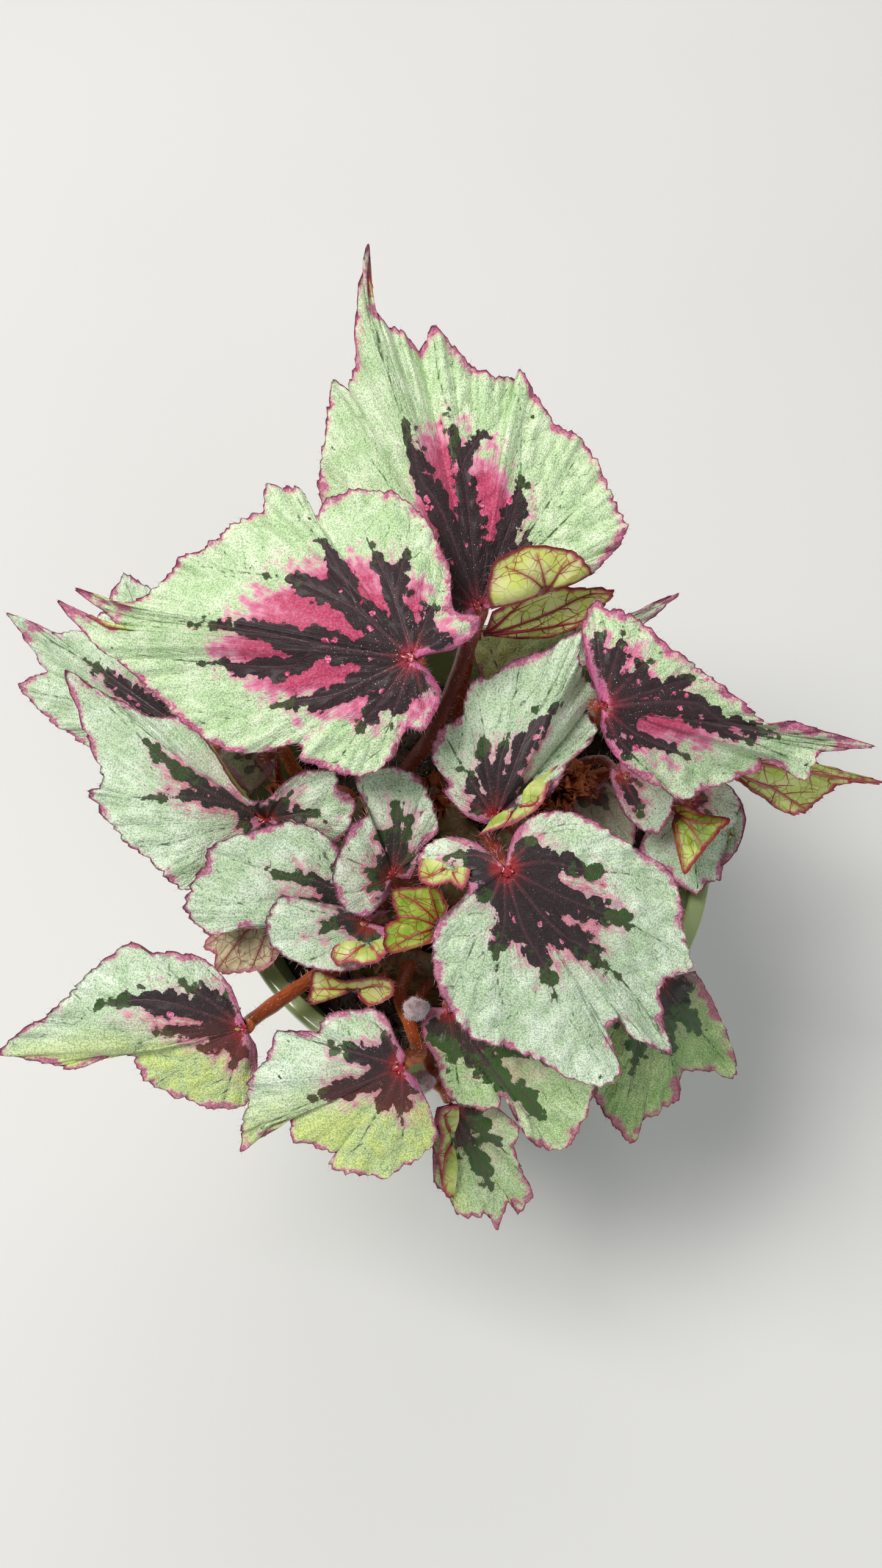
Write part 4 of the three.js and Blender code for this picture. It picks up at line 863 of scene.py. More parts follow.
# Gathers the points, faces and fields of one piece, in mm.
class Skin:
    def __init__(self):
        self.points, self.faces, self.slots = [], [], []
        self.fields = {}
        self.count = 0

    # Adds points with faces of one material, and returns the number of the first point.
    def add(self, points, faces, slot, fields=None):
        first = self.count
        fields = fields or {}
        points = np.asarray(points, float).reshape(-1, 3)
        for name in fields:
            if name not in self.fields:
                self.fields[name] = [np.zeros((first,) + np.shape(fields[name])[1:])]
        for name, parts in self.fields.items():
            blank = np.zeros((len(points),) + parts[0].shape[1:])
            parts.append(np.asarray(fields.get(name, blank)))
        self.points.append(points)
        self.count += len(points)
        self.close((np.asarray(faces) + first).tolist(), slot)
        return first

    # Adds faces between points that are already there.
    def close(self, faces, slot):
        self.faces += faces
        self.slots += [slot] * len(faces)

    def build(self, name, materials, smooth=True):
        mesh = bpy.data.meshes.new(name)
        mesh.from_pydata((np.vstack(self.points) * mm).tolist(), [], self.faces)
        for material in materials:
            mesh.materials.append(material)
        mesh.polygons.foreach_set("material_index", self.slots)
        mesh.polygons.foreach_set("use_smooth", [smooth] * len(self.faces))
        for field, parts in self.fields.items():
            values = np.concatenate(parts)
            kind, key = ("FLOAT", "value") if values.ndim == 1 else ("FLOAT_VECTOR", "vector")
            data = mesh.attributes.new(field, kind, "POINT").data
            data.foreach_set(key, values.astype(np.float32).ravel())
        mesh.update()
        piece = bpy.data.objects.new(name, mesh)
        bpy.context.scene.collection.objects.link(piece)
        return piece


# Four-sided faces of a grid of points, open or closed round each row.
def gridFaces(rows, columns, flip=False, closed=False):
    i, j = np.meshgrid(np.arange(rows - 1), np.arange(columns - (not closed)), indexing="ij")
    a = (i * columns + j).ravel()
    b = (i * columns + (j + 1) % columns).ravel()
    quads = np.stack([a, b, b + columns, a + columns], -1)
    return quads[:, ::-1] if flip else quads


# The directions round a full turn.
def fullTurn(count):
    return np.linspace(0, 2 * math.pi, count, endpoint=False)


# Directions that no hair or stalk runs along, to turn their sides by.
hairSkew, tubeSkew = [0.31, 0.52, 0.79], [0.2, 0.9, 0.1]


# Thin hairs with three sides, from roots along directions.
def addHairs(skin, roots, ways, lengths, radius, slot):
    count = len(roots)
    ways = unit(ways)
    across = unit(np.cross(ways, hairSkew))
    other = np.cross(ways, across)
    corners = [roots + radius * (across * math.cos(turn) + other * math.sin(turn)) for turn in fullTurn(3)]
    points = np.concatenate(corners + [roots + ways * lengths[:, None]])
    k = np.arange(count)
    sides = ((0, 1), (1, 2), (2, 0))
    faces = [np.stack([k + a * count, k + b * count, k + 3 * count], -1) for a, b in sides]
    skin.add(points, np.vstack(faces), slot)


# The ridges of the veins, in mm. They shrink on leaves shorter than fullLength.
ridgeLook = {
    "top": {"widths": (1.0, 0.35), "height": 0.2},
    "below": {"widths": (1.5, 0.5), "height": 0.75},
    "side": {"widths": (0.6, 0.25), "height": 0.3},
    "sunk": 0.06, "fullLength": 50, "leastScale": 0.45,
}


# A low ridge along a vein, on the upper or lower side of a sheet.
def addVein(skin, sheet, vein, ridge, scale, side, slot):
    places = onGrid(sheet["grid"], vein)
    normals = unit(onGrid(sheet["normals"], vein)) * side
    across = np.cross(unit(np.gradient(places, axis=0)), normals)
    run = np.linspace(0, 1, len(vein))
    start, end = (width * scale for width in ridge["widths"])
    width = (start + (end - start) * run)[:, None]
    base = places + normals * (bladeShape["halfThickness"] - ridgeLook["sunk"])
    crest = base + normals * (ridge["height"] * scale * (1 - 0.6 * run) + ridgeLook["sunk"])[:, None]
    points = np.stack([base - across * width / 2, crest, base + across * width / 2], 1)
    fields = {name: np.repeat(onGrid(field, vein), 3) for name, field in sheet["fields"].items()}
    fields["fibrePlace"] = np.repeat(onGrid(sheet["fibres"], vein), 3, axis=0)
    skin.add(points, gridFaces(len(vein), 3), slot, fields)


marginHairs = {"every": 2, "length": (0.7, 2.2), "radius": 0.05, "spread": 0.45, "lift": 0.15}


# One sheet's two faces and its edge, veins and marginal hairs. turnedOver shows the underside
# on the sheet's facing side.
def addSheet(skin, sheet, turnedOver, seed):
    grid, fields = sheet["grid"], sheet["fields"]
    rows, columns = grid.shape[:2]
    thin = np.clip(fields["marginDistance"], 0.25, 1)[..., None] * bladeShape["halfThickness"]
    flat = {name: field.ravel() for name, field in fields.items()}
    flat["fibrePlace"] = sheet["fibres"].reshape(-1, 3)
    upper, under = (1, 0) if turnedOver else (0, 1)
    first = skin.add(grid + sheet["normals"] * thin, gridFaces(rows, columns), upper, flat)
    second = skin.add(grid - sheet["normals"] * thin, gridFaces(rows, columns, flip=True), under, flat)
    loop = [k * columns + columns - 1 for k in range(rows)]
    loop += [(rows - 1) * columns + k for k in range(columns - 2, 0, -1)]
    loop += list(range(columns - 1))
    wall = [[first + a, first + b, second + b, second + a] for a, b in zip(loop, loop[1:] + loop[:1])]
    skin.close(wall, upper)
    top = -1 if turnedOver else 1
    scale = np.clip(fields["junctionDistance"].max() / ridgeLook["fullLength"], ridgeLook["leastScale"], 1)
    for vein, _, _ in sheet["mains"]:
        addVein(skin, sheet, vein, ridgeLook["top"], 1, top, 0)
        addVein(skin, sheet, vein, ridgeLook["below"], scale, -top, 2)
    for vein in sheet["sides"]:
        addVein(skin, sheet, vein, ridgeLook["side"], scale, -top, 2)
    chance = np.random.default_rng(seed)
    spots = np.arange(0, rows - 1, marginHairs["every"])
    lean = chance.normal(0, marginHairs["spread"], (len(spots), 3)) + sheet["facing"] * marginHairs["lift"]
    lengths = chance.uniform(*marginHairs["length"], len(spots))
    addHairs(skin, grid[spots, -1], sheet["outward"][spots] + lean, lengths, marginHairs["radius"], 3)


# A smooth curve through points, in steps of about one length.
def curveThrough(points, step):
    row = smoothRow(np.asarray(points, float), 16)
    along = lengthAlong(row)
    return evenSteps(row, along, max(int(along[-1] / step), 4))


# The two spokes of a ring at each point of a curve, turned as little as possible.
def spokesAlong(curve):
    along = unit(np.gradient(curve, axis=0))
    spokes = [unit(np.cross(along[0], tubeSkew))]
    for way in along[1:]:
        spokes.append(unit(spokes[-1] - (spokes[-1] @ way) * way))
    spokes = np.array(spokes)
    return spokes, np.cross(along, spokes)


# A closed round tube along a curve. Its radii are one for each ring, or for each ring and side.
def addTube(skin, curve, radii, sides, slot):
    first, second = (spoke[:, None] for spoke in spokesAlong(curve))
    cos, sin = np.cos(fullTurn(sides))[None], np.sin(fullTurn(sides))[None]
    ways = first * cos[..., None] + second * sin[..., None]
    points = curve[:, None] + ways * radii.reshape(len(curve), -1, 1)
    length = lengthAlong(curve)[:, None]
    start = skin.add(points, gridFaces(len(curve), sides, closed=True), slot, {
        "underneath": np.clip(0.5 - 0.75 * ways[..., 2], 0, 1).ravel(),
        "stalkPlace": np.stack(np.broadcast_arrays(cos, sin, length), -1).reshape(-1, 3),
    })
    skin.close([list(range(start, start + sides))[::-1], list(range(skin.count - sides, skin.count))], slot)
    return points, ways


# Shader graphs. Nodes are added left to right in the order they are written.
class Graph:
    def __init__(self, tree):
        self.tree = tree
        self.made = 0

    def node(self, kind, **sockets):
        node = self.tree.nodes.new("ShaderNode" + kind)
        node.location = (180 * self.made, -60 * (self.made % 5))
        self.made += 1
        self.set(node, **sockets)
        return node

    def put(self, socket, value):
        if isinstance(value, bpy.types.NodeSocket):
            self.tree.links.new(value, socket)
        else:
            socket.default_value = value

    def set(self, node, **sockets):
        for name, value in sockets.items():
            wanted = name.replace("_", " ").lower()
            self.put(next(s for s in node.inputs if s.enabled and s.name.lower() == wanted), value)

    def math(self, operation, values):
        total = values[0]
        for value in values[1:]:
            node = self.node("Math")
            node.operation = operation
            self.put(node.inputs[0], total)
            self.put(node.inputs[1], value)
            total = node.outputs[0]
        return total

    def plus(self, *values):
        return self.math("ADD", values)

    def minus(self, *values):
        return self.math("SUBTRACT", values)

    def times(self, *values):
        return self.math("MULTIPLY", values)

    def larger(self, *values):
        return self.math("MAXIMUM", values)

    def ramp(self, value, low, high, toLow=0.0, toHigh=1.0):
        node = self.node("MapRange", Value=value, From_Min=low, From_Max=high, To_Min=toLow, To_Max=toHigh)
        node.interpolation_type = "SMOOTHSTEP"
        return node.outputs[0]

    def mix(self, share, a, b):
        node = self.node("Mix")
        node.data_type = "RGBA"
        for place, value in ((0, share), (6, a), (7, b)):
            self.put(node.inputs[place], value)
        return node.outputs[2]

    def noise(self, vector, scale, detail=3.0, roughness=0.5):
        node = self.node("TexNoise", Vector=vector, Scale=scale, Detail=detail, Roughness=roughness)
        return node.outputs[0]

    # Noise that swings round zero.
    def swing(self, *noise):
        return self.minus(self.noise(*noise), 0.5)

    def cells(self, vector, scale, feature="F1"):
        node = self.node("TexVoronoi")
        node.feature = feature
        self.set(node, Vector=vector, Scale=scale, Randomness=1.0)
        return node.outputs["Distance"]

    def stretched(self, vector, scale):
        return self.node("Mapping", Vector=vector, Scale=scale).outputs[0]

    def field(self, name, kind="Fac"):
        node = self.node("Attribute")
        node.attribute_name = name
        return node.outputs[kind]


# A colour as seen on a screen, 0 to 255, for a shader.
def shade(*colour):
    parts = [value / 255 for value in colour]
    return (*[part / 12.92 if part <= 0.04045 else ((part + 0.055) / 1.055) ** 2.4 for part in parts], 1.0)


# What the painting of an upper side takes: fields of the leaf, and colours and amounts of its look.
paintFields = [
    "starField", "blushField", "tipField", "veinDistance", "mainVeinDistance", "marginDistance",
    "junctionDistance", "warmth",
]
paintColours = [
    "light", "lightShade", "warm", "blush", "blushPale", "star", "tip", "margin", "edge", "junction",
]
paintAmounts = ["spots", "dust", "blushStrength", "hug", "marginWidth", "tipStart"]


# The painting of a leaf's upper side from its fields, in mm: a dark star along the veins, pink
# between its arms, a pale frosted zone outside it and a magenta margin.
def leafPaintingGroup():
    group = bpy.data.node_groups.new("leafPainting", "ShaderNodeTree")
    takes = {"Vector": ["place", "fibrePlace"], "Float": paintFields + paintAmounts, "Color": paintColours}
    gives = {"Color": ["colour"], "Float": ["roughness", "height", "thin"]}
    for way, sockets in (("INPUT", takes), ("OUTPUT", gives)):
        for kind, names in sockets.items():
            for name in names:
                group.interface.new_socket(name, in_out=way, socket_type="NodeSocket" + kind)
    g = Graph(group)
    given = group.nodes.new("NodeGroupInput").outputs
    place, toVein, toMainVein = given["place"], given["veinDistance"], given["mainVeinDistance"]
    toMargin, toJunction = given["marginDistance"], given["junctionDistance"]
    broad = g.swing(place, 110, 3, 0.55)
    jag = g.swing(place, 430, 5, 0.7)
    fine = g.swing(place, 1500, 3, 0.6)
    fibre = g.swing(given["fibrePlace"], 1.4, 5, 0.62)

    lobe = g.minus(0.42, g.cells(place, 300))
    wobble = g.plus(g.times(broad, 4.0), g.times(jag, 4.0), g.times(lobe, 3.4))
    starHere = g.plus(given["starField"], g.plus(wobble, g.times(fibre, 2.0)))
    star = g.ramp(starHere, -0.15, 0.15)

    blushWobble = g.plus(g.times(fibre, 17.0), g.times(broad, 26.0))
    blushHere = g.plus(given["blushField"], g.plus(blushWobble, g.times(lobe, 9.0)))
    blush = g.ramp(g.plus(blushHere, g.times(jag, 8.0)), -3.0, 4.0)
    blush = g.times(blush, given["blushStrength"])
    deep = g.ramp(g.plus(blushHere, g.times(jag, 12.0)), 0.0, 11.0)
    hugHere = g.plus(starHere, g.times(fibre, 5.0))
    hug = g.times(g.ramp(hugHere, -2.6, -0.7), g.ramp(blushHere, -4.0, 6.0), given["hug"])
    blush = g.larger(blush, hug)
    blushColour = g.mix(deep, given["blushPale"], given["blush"])
    blushColour = g.mix(g.ramp(fine, -0.12, 0.2, 0.0, 0.4), blushColour, given["blushPale"])

    tone = g.ramp(g.plus(broad, g.times(fibre, 0.7)), -0.2, 0.2)
    light = g.mix(tone, given["lightShade"], given["light"])
    # Painted light: along the leaf's warmth the pale zone turns the yellow-green of light shining through
    # the blade.
    light = g.mix(given["warmth"], light, given["warm"])
    # Painted shade: the pale zone darkens towards the veins, as in the hollows that run along them.
    light = g.mix(g.times(g.ramp(toVein, 2.4, 0.2), 0.45), light, given["lightShade"])
    grains = g.cells(place, 2100)
    light = g.mix(g.ramp(grains, 0.34, 0.14, 0.0, 0.75), light, shade(240, 246, 230))
    light = g.mix(g.ramp(grains, 0.5, 0.72, 0.0, 0.5), light, shade(96, 130, 84))
    sideVein = g.times(g.ramp(toVein, 0.42, 0.16), g.ramp(jag, -0.14, 0.02))
    light = g.mix(g.times(sideVein, 0.8), light, given["tip"])
    mainLine = g.times(g.ramp(toMainVein, 0.5, 0.2), g.ramp(jag, -0.2, 0.05))
    light = g.mix(g.times(mainLine, 0.7), light, given["tip"])
    patch = g.ramp(g.plus(broad, g.times(jag, 0.45)), 0.245, 0.255)
    light = g.mix(patch, light, given["tip"])
    outside = g.mix(blush, light, blushColour)

    tip = g.ramp(g.plus(g.minus(given["tipField"], given["tipStart"]), jag), 0.0, 0.12)
    dark = g.mix(g.ramp(fine, -0.1, 0.25, 0.0, 0.2), given["star"], shade(66, 38, 44))
    dark = g.mix(tip, dark, given["tip"])
    # Painted light: where light shines through the blade, the star turns red-brown.
    dark = g.mix(g.times(given["warmth"], 0.6), dark, shade(104, 34, 18))
    dark = g.mix(g.times(sideVein, 0.4), dark, shade(66, 36, 42))
    dark = g.mix(g.times(g.ramp(toMainVein, 0.75, 0.3), 0.4), dark, shade(78, 46, 54))
    spotCells = g.plus(g.cells(place, 290), g.times(jag, 0.7))
    spot = g.ramp(g.minus(g.ramp(broad, -0.12, 0.16, 0.05, 0.36), spotCells), -0.01, 0.02)
    offVein = g.ramp(toMainVein, 0.9, 1.5)
    nearEdge = g.ramp(given["starField"], 4.6, 2.6)
    inside = g.ramp(toJunction, 9.0, 12.0)
    spot = g.times(g.times(spot, offVein), g.times(nearEdge, inside))
    spot = g.times(spot, given["spots"], g.minus(1.0, tip))
    spotColour = g.mix(g.ramp(fine, -0.1, 0.15), given["blush"], given["blushPale"])
    dark = g.mix(spot, dark, spotColour)
    dusty = g.times(g.ramp(toJunction, 34.0, 10.0), g.ramp(jag, -0.05, 0.15), given["dust"])
    dust = g.times(g.ramp(g.cells(place, 1300), 0.2, 0.1), dusty)
    dark = g.mix(dust, dark, shade(236, 226, 226))
    colour = g.mix(star, outside, dark)

    redHere = g.plus(toJunction, g.times(fibre, 5.0))
    veinRed = g.times(g.ramp(toMainVein, 1.2, 0.4), g.ramp(redHere, 10.0, 3.0), 0.25)
    red = g.larger(g.times(g.ramp(redHere, 5.4, 1.8), 0.8), veinRed)
    colour = g.mix(red, colour, given["junction"])

    rimWobble = g.plus(g.times(jag, 6.0), g.times(broad, 9.0))
    rim = g.math("DIVIDE", (g.plus(toMargin, rimWobble), given["marginWidth"]))
    colour = g.mix(g.ramp(rim, 1.8, 0.9, 0.0, 0.55), colour, given["blushPale"])
    band = g.times(g.ramp(rim, 1.1, 0.6), g.ramp(fine, 0.2, -0.1, 0.4, 0.95))
    rimColour = g.mix(g.ramp(grains, 0.3, 0.12, 0.0, 0.4), given["margin"], shade(236, 206, 218))
    colour = g.mix(band, colour, rimColour)
    edge = g.ramp(g.plus(toMargin, g.times(jag, 1.6)), 0.7, 0.2)
    colour = g.mix(g.times(edge, 0.7), colour, given["edge"])

    bumps = g.plus(g.times(g.ramp(grains, 0.6, 0.0), 0.45), g.times(jag, 2.4))
    bumps = g.plus(bumps, g.times(fibre, g.ramp(star, 0.0, 1.0, 2.2, 0.8)))
    g.set(
        group.nodes.new("NodeGroupOutput"), colour=colour, roughness=g.ramp(star, 0.0, 1.0, 0.5, 0.44),
        height=g.minus(bumps, g.times(sideVein, 0.5)), thin=g.minus(1.0, star),
    )
    return group


# A new material with its graph, its Principled shader and object coordinates.
def newMaterial(name):
    material = bpy.data.materials.new(name)
    material.use_nodes = True
    g = Graph(material.node_tree)
    return material, g, material.node_tree.nodes["Principled BSDF"], g.node("TexCoord").outputs["Object"]


def bump(g, shader, height, strength, distance):
    g.set(shader, Normal=g.node("Bump", Height=height, Strength=strength, Distance=distance).outputs[0])


# Light that comes through a thin leaf, added to what its face reflects.
def letLightThrough(g, shader, colour, share):
    through = g.node("BsdfTranslucent", Color=colour)
    both = g.node("MixShader", Fac=share)
    g.put(both.inputs[1], shader.outputs[0])
    g.put(both.inputs[2], through.outputs[0])
    output = next(n for n in g.tree.nodes if n.type == "OUTPUT_MATERIAL")
    g.set(output, Surface=both.outputs[0])


leafPainting = leafPaintingGroup()

# The colours of each look, 0 to 255 as in the photo. marginWidth is in mm, tipStart the share of
# a star's arm where it turns green, and through the share of light that passes the blade.
# warm is painted light: the yellow-green of light shining through the blade.
looks = {
    "pink": {
        "light": (226, 240, 204), "lightShade": (184, 212, 158), "warm": (200, 216, 112),
        "blush": (182, 26, 84), "blushPale": (222, 136, 170), "star": (34, 12, 16),
        "tip": (44, 74, 20), "margin": (176, 66, 118), "edge": (112, 22, 60),
        "junction": (160, 28, 52), "spots": 1.0, "blushStrength": 0.97, "hug": 0.95, "marginWidth": 1.35,
        "tipStart": 0.8, "coat": 0.1, "through": 0.10, "dust": 0.9,
    },
    "silver": {
        "light": (230, 242, 220), "lightShade": (184, 208, 168), "warm": (208, 222, 128),
        "blush": (204, 72, 122), "blushPale": (214, 158, 178), "star": (32, 18, 20),
        "tip": (44, 72, 24), "margin": (176, 82, 122), "edge": (108, 32, 60),
        "junction": (150, 20, 28), "spots": 0.8, "blushStrength": 0.16, "hug": 0.8, "marginWidth": 1.05,
        "tipStart": 0.66, "coat": 0.12, "through": 0.12, "dust": 0.3,
    },
    "mixed": {
        "light": (218, 234, 188), "lightShade": (168, 198, 130), "warm": (206, 220, 134),
        "blush": (186, 80, 110), "blushPale": (206, 160, 170), "star": (46, 34, 24),
        "tip": (48, 76, 22), "margin": (172, 78, 112), "edge": (108, 32, 58),
        "junction": (150, 24, 26), "spots": 0.3, "blushStrength": 0.12, "hug": 0.4, "marginWidth": 1.05,
        "tipStart": 0.3, "coat": 0.15, "through": 0.14, "dust": 0.2,
    },
    "green": {
        "light": (190, 212, 142), "lightShade": (136, 172, 92), "warm": (190, 208, 104),
        "blush": (168, 96, 104), "blushPale": (176, 150, 140), "star": (40, 32, 26),
        "tip": (46, 78, 24), "margin": (170, 74, 110), "edge": (112, 34, 58),
        "junction": (140, 30, 30), "spots": 0.4, "blushStrength": 0.15, "hug": 0.3, "marginWidth": 1.4,
        "tipStart": 0.35, "coat": 0.2, "through": 0.16, "dust": 0.0,
    },
    # A dimmer, greyer copy of the silver look: painted shade for the small leaves low in the plant.
    "dull": {
        "light": (170, 178, 142), "lightShade": (124, 134, 96), "warm": (160, 166, 88),
        "blush": (150, 84, 100), "blushPale": (168, 136, 140), "star": (42, 30, 30),
        "tip": (52, 70, 30), "margin": (150, 80, 104), "edge": (104, 40, 60),
        "junction": (128, 34, 34), "spots": 0.3, "blushStrength": 0.35, "hug": 0.5, "marginWidth": 1.5,
        "tipStart": 0.6, "coat": 0.2, "through": 0.1, "dust": 0.0,
    },
}
# The cupped leaves of the middle have a star of brown and dark green.
looks["jade"] = {
    **looks["silver"], "star": (30, 28, 20), "tip": (40, 66, 22), "tipStart": 0.5, "spots": 0.35,
    "junction": (132, 26, 18),
}
# Above an underside that the light comes through, the upper side lets it in.
looks["thin"] = {**looks["silver"], "through": 0.6}

underLooks = {
    "under": {
        "light": (226, 230, 150), "lightShade": (196, 214, 100), "vein": (164, 16, 36),
        "margin": (190, 60, 96), "coat": 0.25, "through": 0.45, "rough": 0.42,
    },
    # Cream-yellow, brightened past the underside's own colour: painted light for pieces that lie in shade.
    "creamLitUnder": {
        "light": (255, 253, 184), "lightShade": (240, 248, 130), "vein": (190, 34, 48),
        "margin": (190, 60, 90), "coat": 0.2, "through": 0.5, "rough": 0.45,
    },
    "greenUnder": {
        "light": (196, 214, 84), "lightShade": (136, 180, 46), "vein": (170, 14, 30),
        "margin": (176, 54, 70), "coat": 0.25, "through": 0.45, "rough": 0.42,
    },
    "dullUnder": {
        "light": (200, 186, 150), "lightShade": (170, 152, 118), "vein": (104, 22, 30),
        "margin": (170, 84, 104), "coat": 0.15, "through": 0.22, "rough": 0.5,
    },
}


# The upper side of a leaf. Its painting follows the leaf's fields.
def upperMaterial(name, look):
    material, g, shader, place = newMaterial(name)
    painting = g.node("Group")
    painting.node_tree = leafPainting
    g.set(painting, place=place, fibrePlace=g.stretched(g.field("fibrePlace", "Vector"), (1.0, 0.12, 1.0)))
    g.set(painting, **{field: g.field(field) for field in paintFields})
    g.set(painting, **{part: shade(*look[part]) for part in paintColours})
    g.set(painting, **{amount: look[amount] for amount in paintAmounts})
    paint = painting.outputs
    g.set(
        shader, Base_Color=paint["colour"], Roughness=paint["roughness"], Coat_Weight=look["coat"],
        Coat_Roughness=0.3, Sheen_Weight=0.1, Specular_IOR_Level=0.26,
    )
    bump(g, shader, paint["height"], 0.7, 0.0005)
    letLightThrough(g, shader, paint["colour"], g.times(paint["thin"], look["through"]))
    return material


# The underside of a leaf: pale, flushed red along the veins, with a fine red net between them.
def underMaterial(name, look):
    material, g, shader, place = newMaterial(name)
    vein = shade(*look["vein"])
    mottle = g.ramp(g.noise(place, 200, 4, 0.6), 0.35, 0.65)
    jag = g.swing(place, 500, 4, 0.65)
    colour = g.mix(mottle, shade(*look["light"]), shade(*look["lightShade"]))
    net = g.ramp(g.plus(g.cells(place, 260, "DISTANCE_TO_EDGE"), g.times(jag, 0.12)), 0.045, 0.015)
    near = g.ramp(g.field("veinDistance"), 3.0, 0.4, 0.05, 0.6)
    colour = g.mix(g.times(net, near), colour, vein)
    veinSide = g.plus(g.field("mainVeinDistance"), g.times(jag, 1.6))
    colour = g.mix(g.ramp(veinSide, 1.1, 0.3, 0.0, 0.5), colour, vein)
    blush = g.plus(g.field("junctionDistance"), g.times(mottle, 6.0))
    colour = g.mix(g.ramp(blush, 7.0, 2.0, 0.0, 0.4), colour, vein)
    rim = g.plus(g.field("marginDistance"), g.times(jag, 2.0))
    colour = g.mix(g.ramp(rim, 1.7, 0.4, 0.0, 0.95), colour, shade(*look["margin"]))
    g.set(shader, Base_Color=colour, Roughness=look["rough"], Coat_Weight=look["coat"], Coat_Roughness=0.3)
    bump(g, shader, g.plus(net, g.plus(jag, g.noise(place, 1100, 3))), 0.5, 0.0004)
    letLightThrough(g, shader, colour, look["through"])
    return material


# The ridges of the veins on the underside.
def veinMaterial():
    material, g, shader, place = newMaterial("veinBeneath")
    out = g.ramp(g.field("junctionDistance"), 4.0, 45.0)
    colour = g.mix(out, shade(150, 16, 34), shade(166, 60, 46))
    colour = g.mix(g.times(g.noise(place, 700, 3), 0.4), colour, shade(60, 30, 20))
    g.set(shader, Base_Color=colour, Roughness=0.38, Coat_Weight=0.3)
    bump(g, shader, g.noise(place, 1400, 3), 0.3, 0.0002)
    return material


# A stalk: dark red on its lit side, orange beneath, with paler streaks along it.
def stalkMaterial(name, top, bottom):
    material, g, shader, place = newMaterial(name)
    along = g.stretched(g.field("stalkPlace", "Vector"), (1.0, 1.0, 0.12))
    streak = g.ramp(g.noise(along, 3.0, 4, 0.6), 0.35, 0.65)
    colour = g.mix(g.field("underneath"), shade(*top), shade(*bottom))
    colour = g.mix(g.times(streak, 0.35), colour, shade(64, 22, 16))
    fleck = g.ramp(g.cells(place, 700), 0.22, 0.08)
    colour = g.mix(g.times(fleck, 0.5), colour, shade(232, 190, 168))
    g.set(
        shader, Base_Color=colour, Roughness=0.36, Subsurface_Weight=0.12,
        Subsurface_Radius=(0.004, 0.0012, 0.0008), Coat_Weight=0.15, Coat_Roughness=0.3,
    )
    bump(g, shader, g.plus(streak, g.noise(place, 900, 3)), 0.35, 0.0004)
    return material


# The moulded pot: thin, glossy, slightly see-through olive plastic with fine scratches.
def potMaterial():
    material, g, shader, place = newMaterial("potPlastic")
    cloud = g.ramp(g.noise(place, 22, 3), 0.3, 0.7)
    colour = g.mix(cloud, shade(132, 146, 99), shade(125, 139, 92))
    dust = g.ramp(g.noise(place, 300, 5, 0.7), 0.62, 0.82)
    colour = g.mix(g.times(dust, 0.35), colour, shade(176, 168, 140))
    scratch = g.ramp(g.noise(g.stretched(place, (1.0, 1.0, 9.0)), 160, 4, 0.7), 0.6, 0.66)
    g.set(
        shader, Base_Color=colour, Roughness=g.plus(g.times(dust, 0.25), g.times(scratch, 0.08), 0.2),
        Subsurface_Weight=0.25, Subsurface_Radius=(0.004, 0.005, 0.002), Coat_Weight=0.3,
    )
    bump(g, shader, scratch, 0.08, 0.0002)
    return material


# Loose dark peat with fibres and paler crumbs.
def peatMaterial():
    material, g, shader, place = newMaterial("peat")
    grain = g.noise(place, 420, 6, 0.7)
    colour = g.mix(g.ramp(grain, 0.35, 0.7), shade(26, 19, 15), shade(74, 54, 38))
    bit = g.times(g.ramp(g.cells(place, 520), 0.2, 0.06), g.ramp(g.noise(place, 90, 2), 0.5, 0.62))
    colour = g.mix(bit, colour, shade(140, 116, 84))
    g.set(shader, Base_Color=colour, Roughness=0.92)
    bump(g, shader, g.plus(grain, g.noise(place, 1500, 4)), 0.9, 0.0012)
    return material


# Brown scaly skin of the creeping stem.
def rhizomeMaterial():
    material, g, shader, place = newMaterial("rhizomeSkin")
    uneven = g.noise(place, 180, 4)
    scale = g.plus(g.cells(place, 170, "DISTANCE_TO_EDGE"), g.times(uneven, 0.25))
    colour = g.mix(g.ramp(uneven, 0.35, 0.65), shade(124, 78, 46), shade(98, 88, 46))
    colour = g.mix(g.ramp(scale, 0.22, 0.08, 0.0, 0.7), colour, shade(66, 38, 24))
    fibre = g.ramp(g.noise(place, 700, 5, 0.7), 0.55, 0.75)
    colour = g.mix(g.times(fibre, 0.5), colour, shade(186, 150, 104))
    g.set(shader, Base_Color=colour, Roughness=0.6)
    bump(g, shader, g.plus(scale, fibre), 0.7, 0.0012)
    return material


# A finish of two tones that noise runs between, with a fine bump.
def twoToneMaterial(name, tones, scale, detail, band, bumps, **sockets):
    material, g, shader, place = newMaterial(name)
    light, dark = (shade(*tone) for tone in tones)
    g.set(shader, Base_Color=g.mix(g.ramp(g.noise(place, scale, detail), *band), light, dark), **sockets)
    if bumps:
        fineScale, fineDetail, strength, distance = bumps
        bump(g, shader, g.noise(place, fineScale, fineDetail), strength, distance)
    return material


# The plain floor of the studio.
def floorMaterial():
    material, g, shader, place = newMaterial("studioFloor")
    colour = g.mix(g.noise(place, 3, 2), shade(200, 199, 196), shade(192, 191, 189))
    g.set(shader, Base_Color=colour, Roughness=0.75)
    return material


